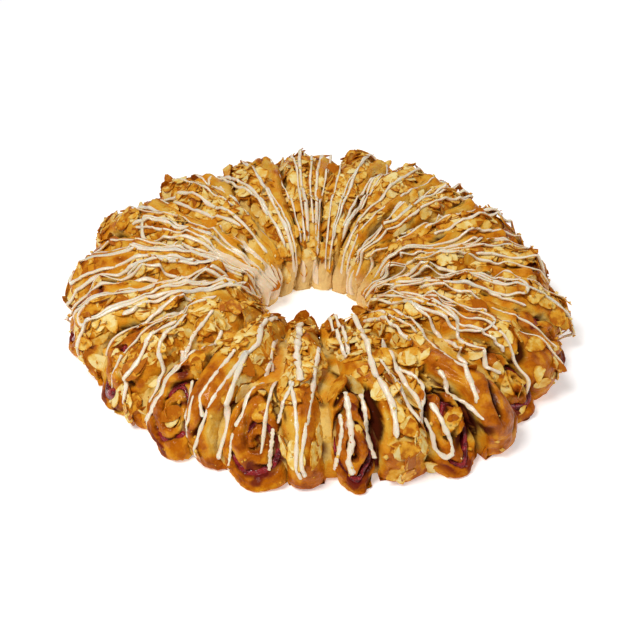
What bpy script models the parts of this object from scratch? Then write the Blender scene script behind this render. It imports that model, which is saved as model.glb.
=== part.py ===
# Kringle: a ring of filled sweet dough, cut into slices that are fanned round the hole.
# Each slice is a slab of browned crust that runs from the hole over the crest to the foot,
# and beside it a coil: the rolled core of the slice, with its spiral end facing outwards.
# Raspberry jam shows between the turns of each coil. Almond flakes and lines of icing lie on top.
# Metres, +Z up. The origin is the middle of the underside.

from math import cos, pi, radians, sin

import bmesh
import bpy
import numpy as np
from mathutils import Matrix, Vector
from mathutils.bvhtree import BVHTree

MM = 0.001

# Ring. Its middle is set a little off the origin, which is the middle of the uneven outline.
RING_MIDDLE_X = -0.1 * MM
RING_MIDDLE_Y = -0.2 * MM
OUTER_RADIUS = 170.2 * MM
HOLE_RADIUS = 36.5 * MM
CREST_RADIUS = 104 * MM
CREST_HEIGHT = 58.5 * MM
OUTER_BULGE_HEIGHT = 20 * MM
INNER_BULGE_HEIGHT = 13 * MM
OUTER_FOOT_RADIUS = 160 * MM
INNER_FOOT_RADIUS = 39.5 * MM
INNER_POWER = 2.1
OUTER_POWER = 2.3
INNER_OUTLINE_ANGLES = (radians(24), radians(52), radians(78))
OUTER_OUTLINE_ANGLES = (radians(66), radians(42), radians(20))
UNDERSIDE_EXTRA = 6 * MM
CORE_DROP = 15 * MM
CORE_LEAST_HEIGHT = 0.4
CORE_INNER_REACH = 0.9
CORE_OUTER_REACH = 0.72

# Slices. Azimuth 0 is the front, and it grows counter-clockwise from above.
SLICE_COUNT = 18
SLICE_PITCH = 2 * pi / SLICE_COUNT
FAN_WARP = radians(9.2)
FAN_PHASE = radians(25)
FAN_START = radians(-5.6)
MEAN_SWEEP = radians(5)
SWEEP_CHANGE = radians(6)
SLICE_SEED = 11

# Slab after slab: how far its foot, and the coil after it, reach beyond the round outline in
# millimetres, and how much higher it is in percent. The ring is a little oval, as it was shaped by hand.
SLAB_REACHES = (-4, -2, 9, 0.5, 1.5, -7, -11, -8, -4, -2, -2, -3, -1, 7, 2.5, -4.5, -16, -8)
COIL_REACHES = (2, 2.5, 1, 1, 4.5, -7, -9, -6, -3, -1, -1, 0, 1, 3, 1.5, -9, -11, -2.5)
SLAB_RISES = (0, -3, 0, 1, -2, -1.5, -0.5, 2, 1, 1.5, 0, -3.5, -4.5, -3, -1, 0, 3, 1.5)
PERCENT = 0.01

# Slabs
SLAB_CREST_WIDTH = 33 * MM
SLAB_CREST_CHANGE = 4 * MM
SLAB_FOOT_WIDTH = 27 * MM
SLAB_FOOT_CHANGE = 10 * MM
SLAB_INNER_SHARE = 1.05
SLAB_LEAN = 0.20
SLAB_LAYERS = (-1.0, -0.84, -0.45, 0.0, 0.45, 0.84, 1.0)
SLAB_ROUNDNESS = 2.6
SLAB_EDGE_HEIGHT = 0.55
SLAB_END_ROUNDING = 0.07
HOLE_END_ROUNDING = 0.07
SLAB_HEIGHT_CHANGE = 0.01
SLAB_LENGTH_CHANGE = 1 * MM

# Coils
COIL_DROP = 7 * MM
COIL_OVERLAP = 1.5
COIL_LEAST_SHARE = 0.35
COIL_SIDES = 10
COIL_FACE_TOP_RADIUS = 130 * MM
COIL_FACE_FOOT_RADIUS = 169 * MM
COIL_FACE_STEPS = ((1.0, -6 * MM), (0.92, 0.0))
COIL_FACE_SHIFT = 3 * MM
COIL_SPOTS = ((44 * MM, 44 * MM), (58 * MM, 58 * MM), (88 * MM, 90 * MM))
COIL_LEAN = 0.10
COIL_TAPER = 0.30
COIL_CREASE = 3 * MM
COIL_CREASE_CHANGE = 11 * MM
CREASE_SHARES = (0.0, 0.2, 1.0)
DROP_SHARES = (0.35, 0.5, 1.0)
COIL_BACK_REACH = 21 * MM
COIL_BACK_RISE = 0.75

# Jam: a ribbon that winds inwards between the turns of a coil and runs back into it
JAM_THICKNESS = 2.4 * MM
JAM_CLEARANCE = 0.45 * MM
JAM_RECESS = 0.7 * MM
JAM_START_ANGLE = radians(165)
JAM_END_ANGLE = radians(545)
JAM_START_SHARE = 0.72
JAM_END_SHARE = 0.27
JAM_POINTS = 8
JAM_BACK_RADII = (98 * MM, 110 * MM)
SLOT_REACH = 4 * MM
SLOT_SPARE = 0.5 * MM

# Almond flakes
FLAKE_COUNT = 48
FLAKE_LENGTH = 15 * MM
FLAKE_WIDTH = 9.5 * MM
FLAKE_SIZE_CHANGE = 0.15
FLAKE_THICKNESS = 1.5 * MM
FLAKE_SIDES = 7
FLAKE_TOP_SHARE = 0.92
FLAKE_TILT = radians(14)
FLAKE_LIFT = 0.3 * MM
FLAKE_INNER_RADIUS = 54 * MM
FLAKE_OUTER_RADIUS = 156 * MM
FLAKE_SPACING = 19 * MM
FLAKE_LEAST_UPWARD = 0.5
FLAKE_SEED = 5

# Icing lines
ICING_LINE_COUNT = 11
ICING_LINE_RADIUS = 2.0 * MM
ICING_LINE_POINTS = 9
ICING_INNER_RADIUS = 50 * MM
ICING_OUTER_RADIUS = 150 * MM
ICING_WANDER = radians(3)
ICING_UNEVENNESS = 0.4
ICING_SAG = 2 * MM
ICING_LIFT = 0.6 * MM
ICING_SEED = 3

TOPPING_CLEARANCE = 1 * MM
DROP_HEIGHT = 200 * MM

# Share of the joined dough's triangles that is kept
KEEP_SHARE = 0.55

DOUGH_COLOUR = (0.58, 0.26, 0.07, 1.0)
JAM_COLOUR = (0.22, 0.012, 0.02, 1.0)


def clear_scene():
    for thing in list(bpy.data.objects):
        bpy.data.objects.remove(thing, do_unlink=True)


def new_collection(name):
    collection = bpy.data.collections.new(name)
    bpy.context.scene.collection.children.link(collection)
    return collection


def new_material(name, colour, roughness):
    material = bpy.data.materials.new(name)
    material.use_nodes = True
    shader = material.node_tree.nodes["Principled BSDF"]
    shader.inputs["Base Color"].default_value = colour
    shader.inputs["Roughness"].default_value = roughness
    shader.inputs["Metallic"].default_value = 0.0
    return material


def mesh_object(name, points, faces, collection):
    mesh = bpy.data.meshes.new(name)
    mesh.from_pydata([tuple(point) for point in points], [], faces)
    mesh.update()
    made = bpy.data.objects.new(name, mesh)
    collection.objects.link(made)
    return made


def faces_outwards(thing):
    """Split the faces of a closed mesh into triangles that all point outwards."""
    work = bmesh.new()
    work.from_mesh(thing.data)
    bmesh.ops.triangulate(work, faces=work.faces)
    bmesh.ops.recalc_face_normals(work, faces=work.faces)
    work.to_mesh(thing.data)
    work.free()


def loft(name, rings, collection):
    """Closed solid through rings of equally many points, with a flat cap at each end."""
    count = len(rings[0])
    points = [point for ring in rings for point in ring]
    faces = []
    for layer in range(len(rings) - 1):
        for side in range(count):
            here = layer * count + side
            beside = layer * count + (side + 1) % count
            faces.append((here, beside, beside + count, here + count))
    faces.append(tuple(reversed(range(count))))
    faces.append(tuple(range(len(points) - count, len(points))))
    made = mesh_object(name, points, faces, collection)
    faces_outwards(made)
    return made


def on_ring(radius, azimuth, sideways, height):
    """World point at a radius and azimuth, moved sideways (counter-clockwise) at a height."""
    x = RING_MIDDLE_X + radius * sin(azimuth) + sideways * cos(azimuth)
    y = RING_MIDDLE_Y - radius * cos(azimuth) + sideways * sin(azimuth)
    return Vector((x, y, height))


def envelope_height(radius):
    """Height of the ring's rounded outline over a radius, from a superellipse on each side."""
    if radius > CREST_RADIUS:
        reach = OUTER_RADIUS - CREST_RADIUS
        base = OUTER_BULGE_HEIGHT
        power = OUTER_POWER
    else:
        reach = CREST_RADIUS - HOLE_RADIUS
        base = INNER_BULGE_HEIGHT
        power = INNER_POWER
    share = min(abs(radius - CREST_RADIUS) / reach, 1.0)
    return base + (CREST_HEIGHT - base) * (1 - share ** power) ** (1 / power)


def envelope_outline():
    """Points (radius, height) from the inner foot over the crest to the outer foot."""
    outline = [(INNER_FOOT_RADIUS, -UNDERSIDE_EXTRA), (HOLE_RADIUS, INNER_BULGE_HEIGHT)]
    for angle in INNER_OUTLINE_ANGLES:
        radius = CREST_RADIUS - (CREST_RADIUS - HOLE_RADIUS) * cos(angle)
        outline.append((radius, envelope_height(radius)))
    for angle in OUTER_OUTLINE_ANGLES:
        radius = CREST_RADIUS + (OUTER_RADIUS - CREST_RADIUS) * cos(angle) ** (2 / OUTER_POWER)
        outline.append((radius, envelope_height(radius)))
    outline.append((OUTER_RADIUS, OUTER_BULGE_HEIGHT))
    outline.append((OUTER_FOOT_RADIUS + 4 * MM, 2 * MM))
    outline.append((OUTER_FOOT_RADIUS, -UNDERSIDE_EXTRA))
    return outline


class Slice:
    """One cut slice: its azimuth, sweep, widths and height, worked out from its number. The coils are
    fuller and less sunk towards the back."""

    def __init__(self, number, draws, crease_draw):
        turn = number * SLICE_PITCH
        self.azimuth = turn + FAN_WARP * sin(turn + FAN_PHASE) + FAN_START
        self.sweep = MEAN_SWEEP - SWEEP_CHANGE * sin(self.azimuth)
        self.crest_width = SLAB_CREST_WIDTH + SLAB_CREST_CHANGE * draws[4]
        self.foot_width = SLAB_FOOT_WIDTH + SLAB_FOOT_CHANGE * draws[0]
        self.height = 1 + SLAB_RISES[number] * PERCENT + SLAB_HEIGHT_CHANGE * draws[1]
        self.length = SLAB_REACHES[number] * MM + SLAB_LENGTH_CHANGE * draws[2]
        backward = 0.5 - 0.5 * cos(self.azimuth)
        sunk_share = 1 - COIL_BACK_RISE * backward
        self.drop = COIL_DROP * sunk_share
        self.crease = (COIL_CREASE + COIL_CREASE_CHANGE * crease_draw) * sunk_share
        face_shift = COIL_FACE_SHIFT * draws[3]
        self.face_top = COIL_REACHES[number] * MM + face_shift + COIL_BACK_REACH * backward
        self.face_foot = COIL_REACHES[number] * MM + 0.5 * face_shift

    def azimuth_at(self, radius):
        return self.azimuth + self.sweep * (OUTER_RADIUS - radius) / (OUTER_RADIUS - HOLE_RADIUS)

    def slab_width_at(self, radius):
        inner_width = SLAB_INNER_SHARE * HOLE_RADIUS * SLICE_PITCH
        if radius < CREST_RADIUS:
            share = (radius - HOLE_RADIUS) / (CREST_RADIUS - HOLE_RADIUS)
            return inner_width + (self.crest_width - inner_width) * share
        share = (radius - CREST_RADIUS) / (OUTER_RADIUS - CREST_RADIUS)
        return self.crest_width + (self.foot_width - self.crest_width) * share


def make_slices():
    draws = np.random.default_rng(SLICE_SEED).uniform(-1, 1, (SLICE_COUNT, 5))
    crease_draws = np.random.default_rng(SLICE_SEED + 1).uniform(0, 1, SLICE_COUNT)
    return [Slice(number, draws[number], crease_draws[number]) for number in range(SLICE_COUNT)]


def slab(index, piece, collection):
    """Slab of crust: the ring's outline carried through its thickness, lower and shorter at its sides."""
    rings = []
    for layer in SLAB_LAYERS:
        crown = (1 - abs(layer) ** SLAB_ROUNDNESS) ** (1 / SLAB_ROUNDNESS)
        rise = SLAB_EDGE_HEIGHT + (1 - SLAB_EDGE_HEIGHT) * crown
        ring = []
        for radius, height in envelope_outline():
            rounding = SLAB_END_ROUNDING if radius > CREST_RADIUS else HOLE_END_ROUNDING
            far = CREST_RADIUS + (radius - CREST_RADIUS) * (1 - rounding * abs(layer) ** 3)
            if radius > CREST_RADIUS:
                far += piece.length * (radius - CREST_RADIUS) / (OUTER_RADIUS - CREST_RADIUS)
            up = height * rise * piece.height if height > 0 else height
            side = 0.5 * layer * piece.slab_width_at(radius) - SLAB_LEAN * max(up, 0)
            ring.append(on_ring(far, piece.azimuth_at(radius), side, up))
        rings.append(ring)
    return loft(f"slab_{index:02d}", rings, collection)


def coil_azimuth(piece, following, radius):
    """Middle of the gap between a slab and the next one counter-clockwise."""
    here = piece.azimuth_at(radius)
    there = following.azimuth_at(radius)
    if there < here:
        there += 2 * pi
    return 0.5 * (here + there), there - here


def coil_half_width(piece, following, radius):
    gap = coil_azimuth(piece, following, radius)[1] * radius
    slabs = 0.5 * (piece.slab_width_at(radius) + following.slab_width_at(radius))
    return max(0.5 * COIL_OVERLAP * (gap - slabs), COIL_LEAST_SHARE * gap)


def coil_section(piece, following, radii, scale, push, sinking):
    """Oval section of a coil in a plane that leans from its foot back to its top."""
    top_radius, foot_radius = radii
    top = Vector((top_radius, envelope_height(top_radius) * piece.height - sinking))
    foot = Vector((foot_radius, -0.5 * UNDERSIDE_EXTRA))
    middle = 0.5 * (top + foot)
    upward = 0.5 * (top - foot)
    outward = Vector((upward.y, -upward.x)).normalized()
    width = coil_half_width(piece, following, middle.x)
    azimuth = coil_azimuth(piece, following, middle.x)[0]
    return middle, upward * scale, outward * push, width * scale, azimuth


def coil_point(section, across, along):
    """Point of a leaning section: across is its share of the width, along its share of the height. The
    section narrows from its middle to its top."""
    middle, upward, outward, width, azimuth = section
    place = middle + upward * along + outward
    narrowed = 1 - COIL_TAPER * max(along, 0.0)
    side = width * across * narrowed - COIL_LEAN * place.y
    return on_ring(place.x, azimuth, side, place.y)


def coil_ring(section):
    ring = []
    for step in range(COIL_SIDES):
        angle = 2 * pi * step / COIL_SIDES
        ring.append(coil_point(section, cos(angle), sin(angle)))
    return ring


def face_radii(piece):
    """Radii of the top and foot of a coil's cut face."""
    return COIL_FACE_TOP_RADIUS + piece.face_top, COIL_FACE_FOOT_RADIUS + piece.face_foot


def coil(index, piece, following, collection):
    """Coil: oval sections that grow from the hole outwards and end in a flat cut face. Behind the face
    its top sinks into a crease between the slabs."""
    rings = []
    for radii, crease_share, drop_share in zip(COIL_SPOTS, CREASE_SHARES, DROP_SHARES):
        sinking = drop_share * piece.drop + crease_share * piece.crease
        section = coil_section(piece, following, radii, 1.0, 0.0, sinking)
        rings.append(coil_ring(section))
    for scale, push in COIL_FACE_STEPS:
        section = coil_section(piece, following, face_radii(piece), scale, push, piece.drop)
        rings.append(coil_ring(section))
    return loft(f"coil_{index:02d}", rings, collection)


def extended(points, spare):
    """A row of points with its first and last moved outwards along the row."""
    first = points[0] + (points[0] - points[1]).normalized() * spare
    last = points[-1] + (points[-1] - points[-2]).normalized() * spare
    return [first] + points[1:-1] + [last]


def jam_surface(name, piece, following, reach, spare, collection):
    """Open ribbon: a spiral in the coil's face, joined to the same spiral further back in the coil."""
    face = coil_section(piece, following, face_radii(piece), 1.0, -JAM_RECESS, piece.drop)
    back = coil_section(piece, following, JAM_BACK_RADII, 1.0, 0.0, piece.drop + piece.crease)
    rows = []
    for section in (face, back):
        row = []
        for step in range(JAM_POINTS):
            share = step / (JAM_POINTS - 1)
            angle = JAM_START_ANGLE + (JAM_END_ANGLE - JAM_START_ANGLE) * share
            spread = JAM_START_SHARE + (JAM_END_SHARE - JAM_START_SHARE) * share
            row.append(coil_point(section, spread * cos(angle), spread * sin(angle)))
        rows.append(extended(row, spare))
    points = []
    for front, rear in zip(*rows):
        along = (front - rear).normalized() * reach
        points += [front + along, rear - along]
    faces = [(2 * step, 2 * step + 1, 2 * step + 3, 2 * step + 2) for step in range(JAM_POINTS - 1)]
    return mesh_object(name, points, faces, collection)


def thickened(ribbon, thickness):
    solidify = ribbon.modifiers.new("thickness", "SOLIDIFY")
    solidify.thickness = thickness
    solidify.offset = 0.0
    solidify.use_even_offset = True
    applied(ribbon)
    faces_outwards(ribbon)
    return ribbon


def jam(index, piece, following, collection):
    ribbon = jam_surface(f"jam_{index:02d}", piece, following, 0.0, 0.0, collection)
    return thickened(ribbon, JAM_THICKNESS)


def jam_slot(index, piece, following, collection):
    """Cutter for the jam's place: thicker, longer and deeper than the jam by the clearance or more."""
    name = f"slot_{index:02d}"
    ribbon = jam_surface(name, piece, following, SLOT_REACH, SLOT_SPARE, collection)
    return thickened(ribbon, JAM_THICKNESS + 2 * JAM_CLEARANCE)


def search_tree(things):
    """One search tree over the triangles of several meshes."""
    points = []
    triangles = []
    for thing in things:
        start = len(points)
        points += [vertex.co.copy() for vertex in thing.data.vertices]
        for face in thing.data.polygons:
            corners = [start + vertex for vertex in face.vertices]
            triangles += [(corners[0], corners[k], corners[k + 1]) for k in range(1, len(corners) - 1)]
    return BVHTree.FromPolygons(points, triangles)


def dropped(tree, radius, azimuth):
    """Where something let fall at a radius and azimuth lands, with the surface's direction there."""
    above = on_ring(radius, azimuth, 0.0, DROP_HEIGHT)
    place, normal = tree.ray_cast(above, Vector((0, 0, -1)))[:2]
    if place is not None and normal.z < 0:
        normal = -normal
    return place, normal


def flake(place, normal, spin, tilt, size, collection):
    """Almond flake: a low oval prism, laid on the surface and tipped a little."""
    length = FLAKE_LENGTH * size
    width = FLAKE_WIDTH * size
    work = bmesh.new()
    bmesh.ops.create_cone(
        work, cap_ends=True, cap_tris=False, segments=FLAKE_SIDES,
        radius1=0.5, radius2=0.5 * FLAKE_TOP_SHARE, depth=1.0,
    )
    turn = normal.to_track_quat("Z", "Y").to_matrix().to_4x4()
    lay = Matrix.Translation(place + normal * FLAKE_LIFT) @ turn
    lay = lay @ Matrix.Rotation(spin, 4, "Z") @ Matrix.Rotation(tilt, 4, "Y")
    lay = lay @ Matrix.Diagonal((length, width, FLAKE_THICKNESS, 1.0))
    work.transform(lay)
    mesh = bpy.data.meshes.new("flake")
    work.to_mesh(mesh)
    work.free()
    made = bpy.data.objects.new("flake", mesh)
    collection.objects.link(made)
    faces_outwards(made)
    return made


def scatter_flakes(dough_tree, jam_tree, collection):
    """Drop flakes one by one, each at least a spacing from the others and clear of the jam."""
    random = np.random.default_rng(FLAKE_SEED)
    placed = []
    reach = 0.5 * FLAKE_LENGTH * (1 + FLAKE_SIZE_CHANGE) + TOPPING_CLEARANCE
    while len(placed) < FLAKE_COUNT:
        draw = random.uniform(0, 1, 5)
        span = FLAKE_OUTER_RADIUS ** 2 - FLAKE_INNER_RADIUS ** 2
        radius = (FLAKE_INNER_RADIUS ** 2 + draw[0] * span) ** 0.5
        place, normal = dropped(dough_tree, radius, 2 * pi * draw[1])
        if place is None or normal.z < FLAKE_LEAST_UPWARD:
            continue
        if any((place - other).length < FLAKE_SPACING for other in placed):
            continue
        if jam_tree.find_nearest(place, reach)[0] is not None:
            continue
        size = 1 + FLAKE_SIZE_CHANGE * (2 * draw[2] - 1)
        flake(place, normal, 2 * pi * draw[3], FLAKE_TILT * (2 * draw[4] - 1), size, collection)
        placed.append(place)


def icing_path(dough_tree, jam_tree, azimuth, draws):
    """Points of one line of icing: it wanders a little, spans the crevices and stops short of jam."""
    path = []
    reach = 2 * ICING_LINE_RADIUS + TOPPING_CLEARANCE
    for step in range(ICING_LINE_POINTS):
        share = step / (ICING_LINE_POINTS - 1)
        radius = ICING_INNER_RADIUS + (ICING_OUTER_RADIUS - ICING_INNER_RADIUS) * share
        slow_bend = sin(2 * pi * (share + draws[0]))
        quick_bend = sin(5 * pi * share + 2 * pi * draws[1])
        wander = ICING_WANDER * (slow_bend + 0.5 * quick_bend)
        place = dropped(dough_tree, radius, azimuth + wander)[0]
        if place is None or jam_tree.find_nearest(place, reach)[0] is not None:
            break
        path.append(place)
    heights = [place.z for place in path]
    for step in range(1, len(path) - 1):
        path[step].z = max(heights[step], 0.5 * (heights[step - 1] + heights[step + 1]) - ICING_SAG)
    for place in path:
        place.z += ICING_LIFT
    return path


def icing_line(path, collection):
    """Line of icing: a curve with a square section, made a closed mesh."""
    curve = bpy.data.curves.new("icing_line", "CURVE")
    curve.dimensions = "3D"
    curve.bevel_depth = ICING_LINE_RADIUS
    curve.bevel_resolution = 0
    curve.use_fill_caps = True
    spline = curve.splines.new("POLY")
    spline.points.add(len(path) - 1)
    for point, place in zip(spline.points, path):
        point.co = (place.x, place.y, place.z, 1.0)
    source = bpy.data.objects.new("icing_line", curve)
    collection.objects.link(source)
    depsgraph = bpy.context.evaluated_depsgraph_get()
    mesh = bpy.data.meshes.new_from_object(source.evaluated_get(depsgraph))
    work = bmesh.new()
    work.from_mesh(mesh)
    bmesh.ops.remove_doubles(work, verts=work.verts, dist=0.00001)
    work.to_mesh(mesh)
    work.free()
    made = bpy.data.objects.new("icing", mesh)
    made.matrix_world = source.matrix_world
    collection.objects.link(made)
    bpy.data.objects.remove(source, do_unlink=True)
    faces_outwards(made)
    return made


def draw_icing(dough_tree, jam_tree, collection):
    random = np.random.default_rng(ICING_SEED)
    for number in range(ICING_LINE_COUNT):
        draws = random.uniform(0, 1, 3)
        azimuth = 2 * pi * (number + ICING_UNEVENNESS * draws[2]) / ICING_LINE_COUNT
        path = icing_path(dough_tree, jam_tree, azimuth, draws)
        icing_line(path, collection)


def core_ring(collection):
    """Turned ring under the slices, which they grow out of."""
    profile = []
    for radius, height in envelope_outline():
        reach = CORE_OUTER_REACH if radius > CREST_RADIUS else CORE_INNER_REACH
        shrunk = CREST_RADIUS + (radius - CREST_RADIUS) * reach
        lowered = max(height - CORE_DROP, CORE_LEAST_HEIGHT * height) if height > 0 else height
        profile.append((shrunk, 0.0, lowered))
    edges = [(step, (step + 1) % len(profile)) for step in range(len(profile))]
    mesh = bpy.data.meshes.new("core_ring")
    mesh.from_pydata(profile, edges, [])
    made = bpy.data.objects.new("core_ring", mesh)
    made.location = (RING_MIDDLE_X, RING_MIDDLE_Y, 0.0)
    collection.objects.link(made)
    screw = made.modifiers.new("turn", "SCREW")
    screw.axis = "Z"
    screw.steps = 2 * SLICE_COUNT
    screw.render_steps = 2 * SLICE_COUNT
    screw.use_merge_vertices = True
    screw.merge_threshold = 0.00001
    return made


def applied(thing):
    """Replace an object's mesh by what its modifiers give, with its place in the mesh."""
    depsgraph = bpy.context.evaluated_depsgraph_get()
    mesh = bpy.data.meshes.new_from_object(thing.evaluated_get(depsgraph))
    mesh.transform(thing.matrix_basis)
    thing.modifiers.clear()
    thing.matrix_basis = Matrix.Identity(4)
    thing.data = mesh
    return thing


def joined(name, collection, target):
    """One solid from all the objects of a collection, which are then removed."""
    members = list(collection.objects)
    first = members[0]
    target.objects.link(first)
    collection.objects.unlink(first)
    union = first.modifiers.new("join", "BOOLEAN")
    union.operation = "UNION"
    union.operand_type = "COLLECTION"
    union.collection = collection
    union.solver = "MANIFOLD"
    applied(first)
    for member in members[1:]:
        bpy.data.objects.remove(member, do_unlink=True)
    bpy.data.collections.remove(collection)
    first.name = name
    first.data.name = name
    return first


def keep_main_body(thing):
    """Fill sealed hollows and drop loose scraps: of the closed shells, only the largest stays."""
    work = bmesh.new()
    work.from_mesh(thing.data)
    unseen = set(work.verts)
    shells = []
    while unseen:
        shell = set()
        waiting = [unseen.pop()]
        while waiting:
            vertex = waiting.pop()
            shell.add(vertex)
            for link in vertex.link_edges:
                other = link.other_vert(vertex)
                if other in unseen:
                    unseen.discard(other)
                    waiting.append(other)
        shells.append(shell)
    shells.sort(key=len)
    scraps = [vertex for shell in shells[:-1] for vertex in shell]
    bmesh.ops.delete(work, geom=scraps, context="VERTS")
    work.to_mesh(thing.data)
    work.free()


def cut(thing, cutter):
    cutter.hide_render = True
    cutter.display_type = "WIRE"
    step = thing.modifiers.new("cut", "BOOLEAN")
    step.operation = "DIFFERENCE"
    step.object = cutter
    step.solver = "MANIFOLD"
    applied(thing)


def floor_cutter(collection):
    """Block under the floor, which leaves a flat underside."""
    bpy.ops.mesh.primitive_cube_add(size=1, location=(0, 0, -0.5))
    block = bpy.context.object
    block.name = "floor_cutter"
    for owner in list(block.users_collection):
        owner.objects.unlink(block)
    collection.objects.link(block)
    return block


def main():
    clear_scene()
    kringle = new_collection("kringle")
    cutters = new_collection("cutters")
    pieces = new_collection("pieces")
    slices = make_slices()
    pairs = [(slices[number], slices[(number + 1) % SLICE_COUNT]) for number in range(SLICE_COUNT)]
    applied(core_ring(pieces))
    for index, (piece, following) in enumerate(pairs, 1):
        slab(index, piece, pieces)
        coil(index, piece, following, pieces)
    dough = joined("dough", pieces, kringle)
    thinned = dough.modifiers.new("thin", "DECIMATE")
    thinned.ratio = KEEP_SHARE
    applied(dough)
    cut(dough, floor_cutter(cutters))
    jam_pieces = [jam(index, piece, following, kringle) for index, (piece, following) in enumerate(pairs, 1)]
    for index, (piece, following) in enumerate(pairs, 1):
        cut(dough, jam_slot(index, piece, following, cutters))
    keep_main_body(dough)

    toppings = new_collection("toppings")
    dough_tree = search_tree([dough])
    jam_tree = search_tree(jam_pieces)
    scatter_flakes(dough_tree, jam_tree, toppings)
    draw_icing(dough_tree, jam_tree, toppings)
    kringle.objects.unlink(dough)
    toppings.objects.link(dough)
    dough = joined("dough", toppings, kringle)
    keep_main_body(dough)
    print("dough triangles", sum(len(face.vertices) - 2 for face in dough.data.polygons))

    crust = new_material("crust", DOUGH_COLOUR, 0.45)
    filling = new_material("jam", JAM_COLOUR, 0.3)
    dough.data.materials.clear()
    dough.data.materials.append(crust)
    for piece in jam_pieces:
        piece.data.materials.append(filling)


main()
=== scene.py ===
# %% [markdown]
# # A kringle, slice by slice
# The ring is a filled roll of sweet dough that was cut almost through and fanned out. Every slice shows
# a browned slab of crust, and beside it a coil: the rolled core, with a spiral of jam in its cut end.
# Almond flakes, lines of icing and toasted crumbs cover it. The solid frame is loaded first, because
# every surface below has to stand where its solid stands.

# %% Load the frame
import math

import bpy
import numpy as np
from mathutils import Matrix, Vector


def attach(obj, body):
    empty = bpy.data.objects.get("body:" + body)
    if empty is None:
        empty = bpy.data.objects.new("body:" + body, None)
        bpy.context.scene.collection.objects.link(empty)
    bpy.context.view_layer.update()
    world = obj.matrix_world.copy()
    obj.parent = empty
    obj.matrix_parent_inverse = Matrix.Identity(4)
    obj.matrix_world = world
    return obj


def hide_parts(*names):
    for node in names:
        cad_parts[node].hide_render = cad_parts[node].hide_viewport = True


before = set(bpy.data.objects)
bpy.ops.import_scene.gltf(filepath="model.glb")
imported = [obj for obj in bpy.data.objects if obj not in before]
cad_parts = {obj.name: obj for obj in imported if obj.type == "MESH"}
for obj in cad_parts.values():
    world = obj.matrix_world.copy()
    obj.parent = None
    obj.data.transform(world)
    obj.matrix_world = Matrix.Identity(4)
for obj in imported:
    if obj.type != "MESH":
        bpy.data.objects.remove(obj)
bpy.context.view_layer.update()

# %% [markdown]
# ## The ring's sizes
# A baker would give the outer size, the hole and the height of the crest. The same driving sizes shape
# the solids of the frame, so that the fine surfaces made here lie on them.

# %% Sizes of the ring
MM = 0.001
DEGREE = math.radians(1)
TURN = 2 * np.pi
RING_MIDDLE_X = -0.1 * MM
RING_MIDDLE_Y = -0.2 * MM
OUTER_RADIUS = 170.2 * MM
HOLE_RADIUS = 36.5 * MM
CREST_RADIUS = 104 * MM
CREST_HEIGHT = 58.5 * MM
OUTER_BULGE_HEIGHT = 20 * MM
INNER_BULGE_HEIGHT = 13 * MM
OUTER_FOOT_RADIUS = 162.5 * MM
INNER_FOOT_RADIUS = 38.5 * MM
INNER_POWER = 2.1
OUTER_POWER = 2.3
UNDERSIDE_GAP = 0.6 * MM


# %% [markdown]
# ## Small tools
# Baked dough has no straight line in it. Relief comes from a sum of many plane waves with random
# directions: it costs one array product, needs no image, and is the same in every run. The other tools
# are a soft step, the slope of a surface on a grid, and a way to turn arrays into a mesh.

# %% Soft step and soft random relief
WAVE_COUNT = 24


def smooth_step(low, high, value):
    """0 below low, 1 above high, and the S curve 3t^2 - 2t^3 of the share t between."""
    share = np.clip((value - low) / (high - low), 0, 1)
    return share * share * (3 - 2 * share)


def waves(points, length, seed):
    """Soft relief at points: a sum of plane waves of about one length, with a spread of one."""
    random = np.random.default_rng(seed)
    ways = random.normal(size=(WAVE_COUNT, 3))
    ways /= np.linalg.norm(ways, axis=1, keepdims=True)
    lengths = length * random.uniform(0.7, 1.6, WAVE_COUNT)
    turns = points @ (ways * (TURN / lengths)[:, None]).T + random.uniform(0, TURN, WAVE_COUNT)
    return np.sin(turns).sum(-1) * np.sqrt(2 / WAVE_COUNT)


def ends_faded(share, reach):
    """1 along a way and 0 at both its ends, with a soft step of one reach at each end."""
    return smooth_step(0, reach, share) * smooth_step(1, 1 - reach, share)


def away_from(azimuth, middle=0.0):
    """0 at one azimuth and 1 across the ring from it: half of one minus the cosine of the turn."""
    return 0.5 - 0.5 * np.cos(azimuth - middle)


# %% Slopes and closed grids
def unit(vectors):
    """Vectors of length one, for any array whose last side is x, y, z."""
    return vectors / np.maximum(np.linalg.norm(vectors, axis=-1, keepdims=True), 1e-12)


def grid_outward(grid):
    """Outward direction on a grid closed along its second side: the cross product of its two slopes,
    turned round if it points at the middle of its own row."""
    along = np.gradient(grid, axis=0)
    around = np.roll(grid, -1, 1) - np.roll(grid, 1, 1)
    direction = unit(np.cross(around, along))
    outwards = ((grid - grid.mean(1, keepdims=True)) * direction).sum()
    return direction if outwards > 0 else -direction


def tube_faces(rows, columns):
    """Quads of a grid closed along its second side, and the triangles of a fan at each end."""
    here = np.arange(rows - 1)[:, None] * columns + np.arange(columns)
    beside = np.arange(rows - 1)[:, None] * columns + (np.arange(columns) + 1) % columns
    quads = np.stack([here, beside, beside + columns, here + columns], -1).reshape(-1, 4)
    ring = np.arange(columns)
    following = (ring + 1) % columns
    last = (rows - 1) * columns
    first_fan = np.stack([following, ring, np.full(columns, rows * columns)], -1)
    last_fan = np.stack([last + ring, last + following, np.full(columns, rows * columns + 1)], -1)
    return quads, np.concatenate([first_fan, last_fan])


def tube_points(grid):
    """The grid's points in one list, with the middle of its first and last row added for the fans."""
    flat = grid.reshape(-1, grid.shape[-1])
    return np.concatenate([flat, [grid[0].mean(0), grid[-1].mean(0)]])


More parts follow.
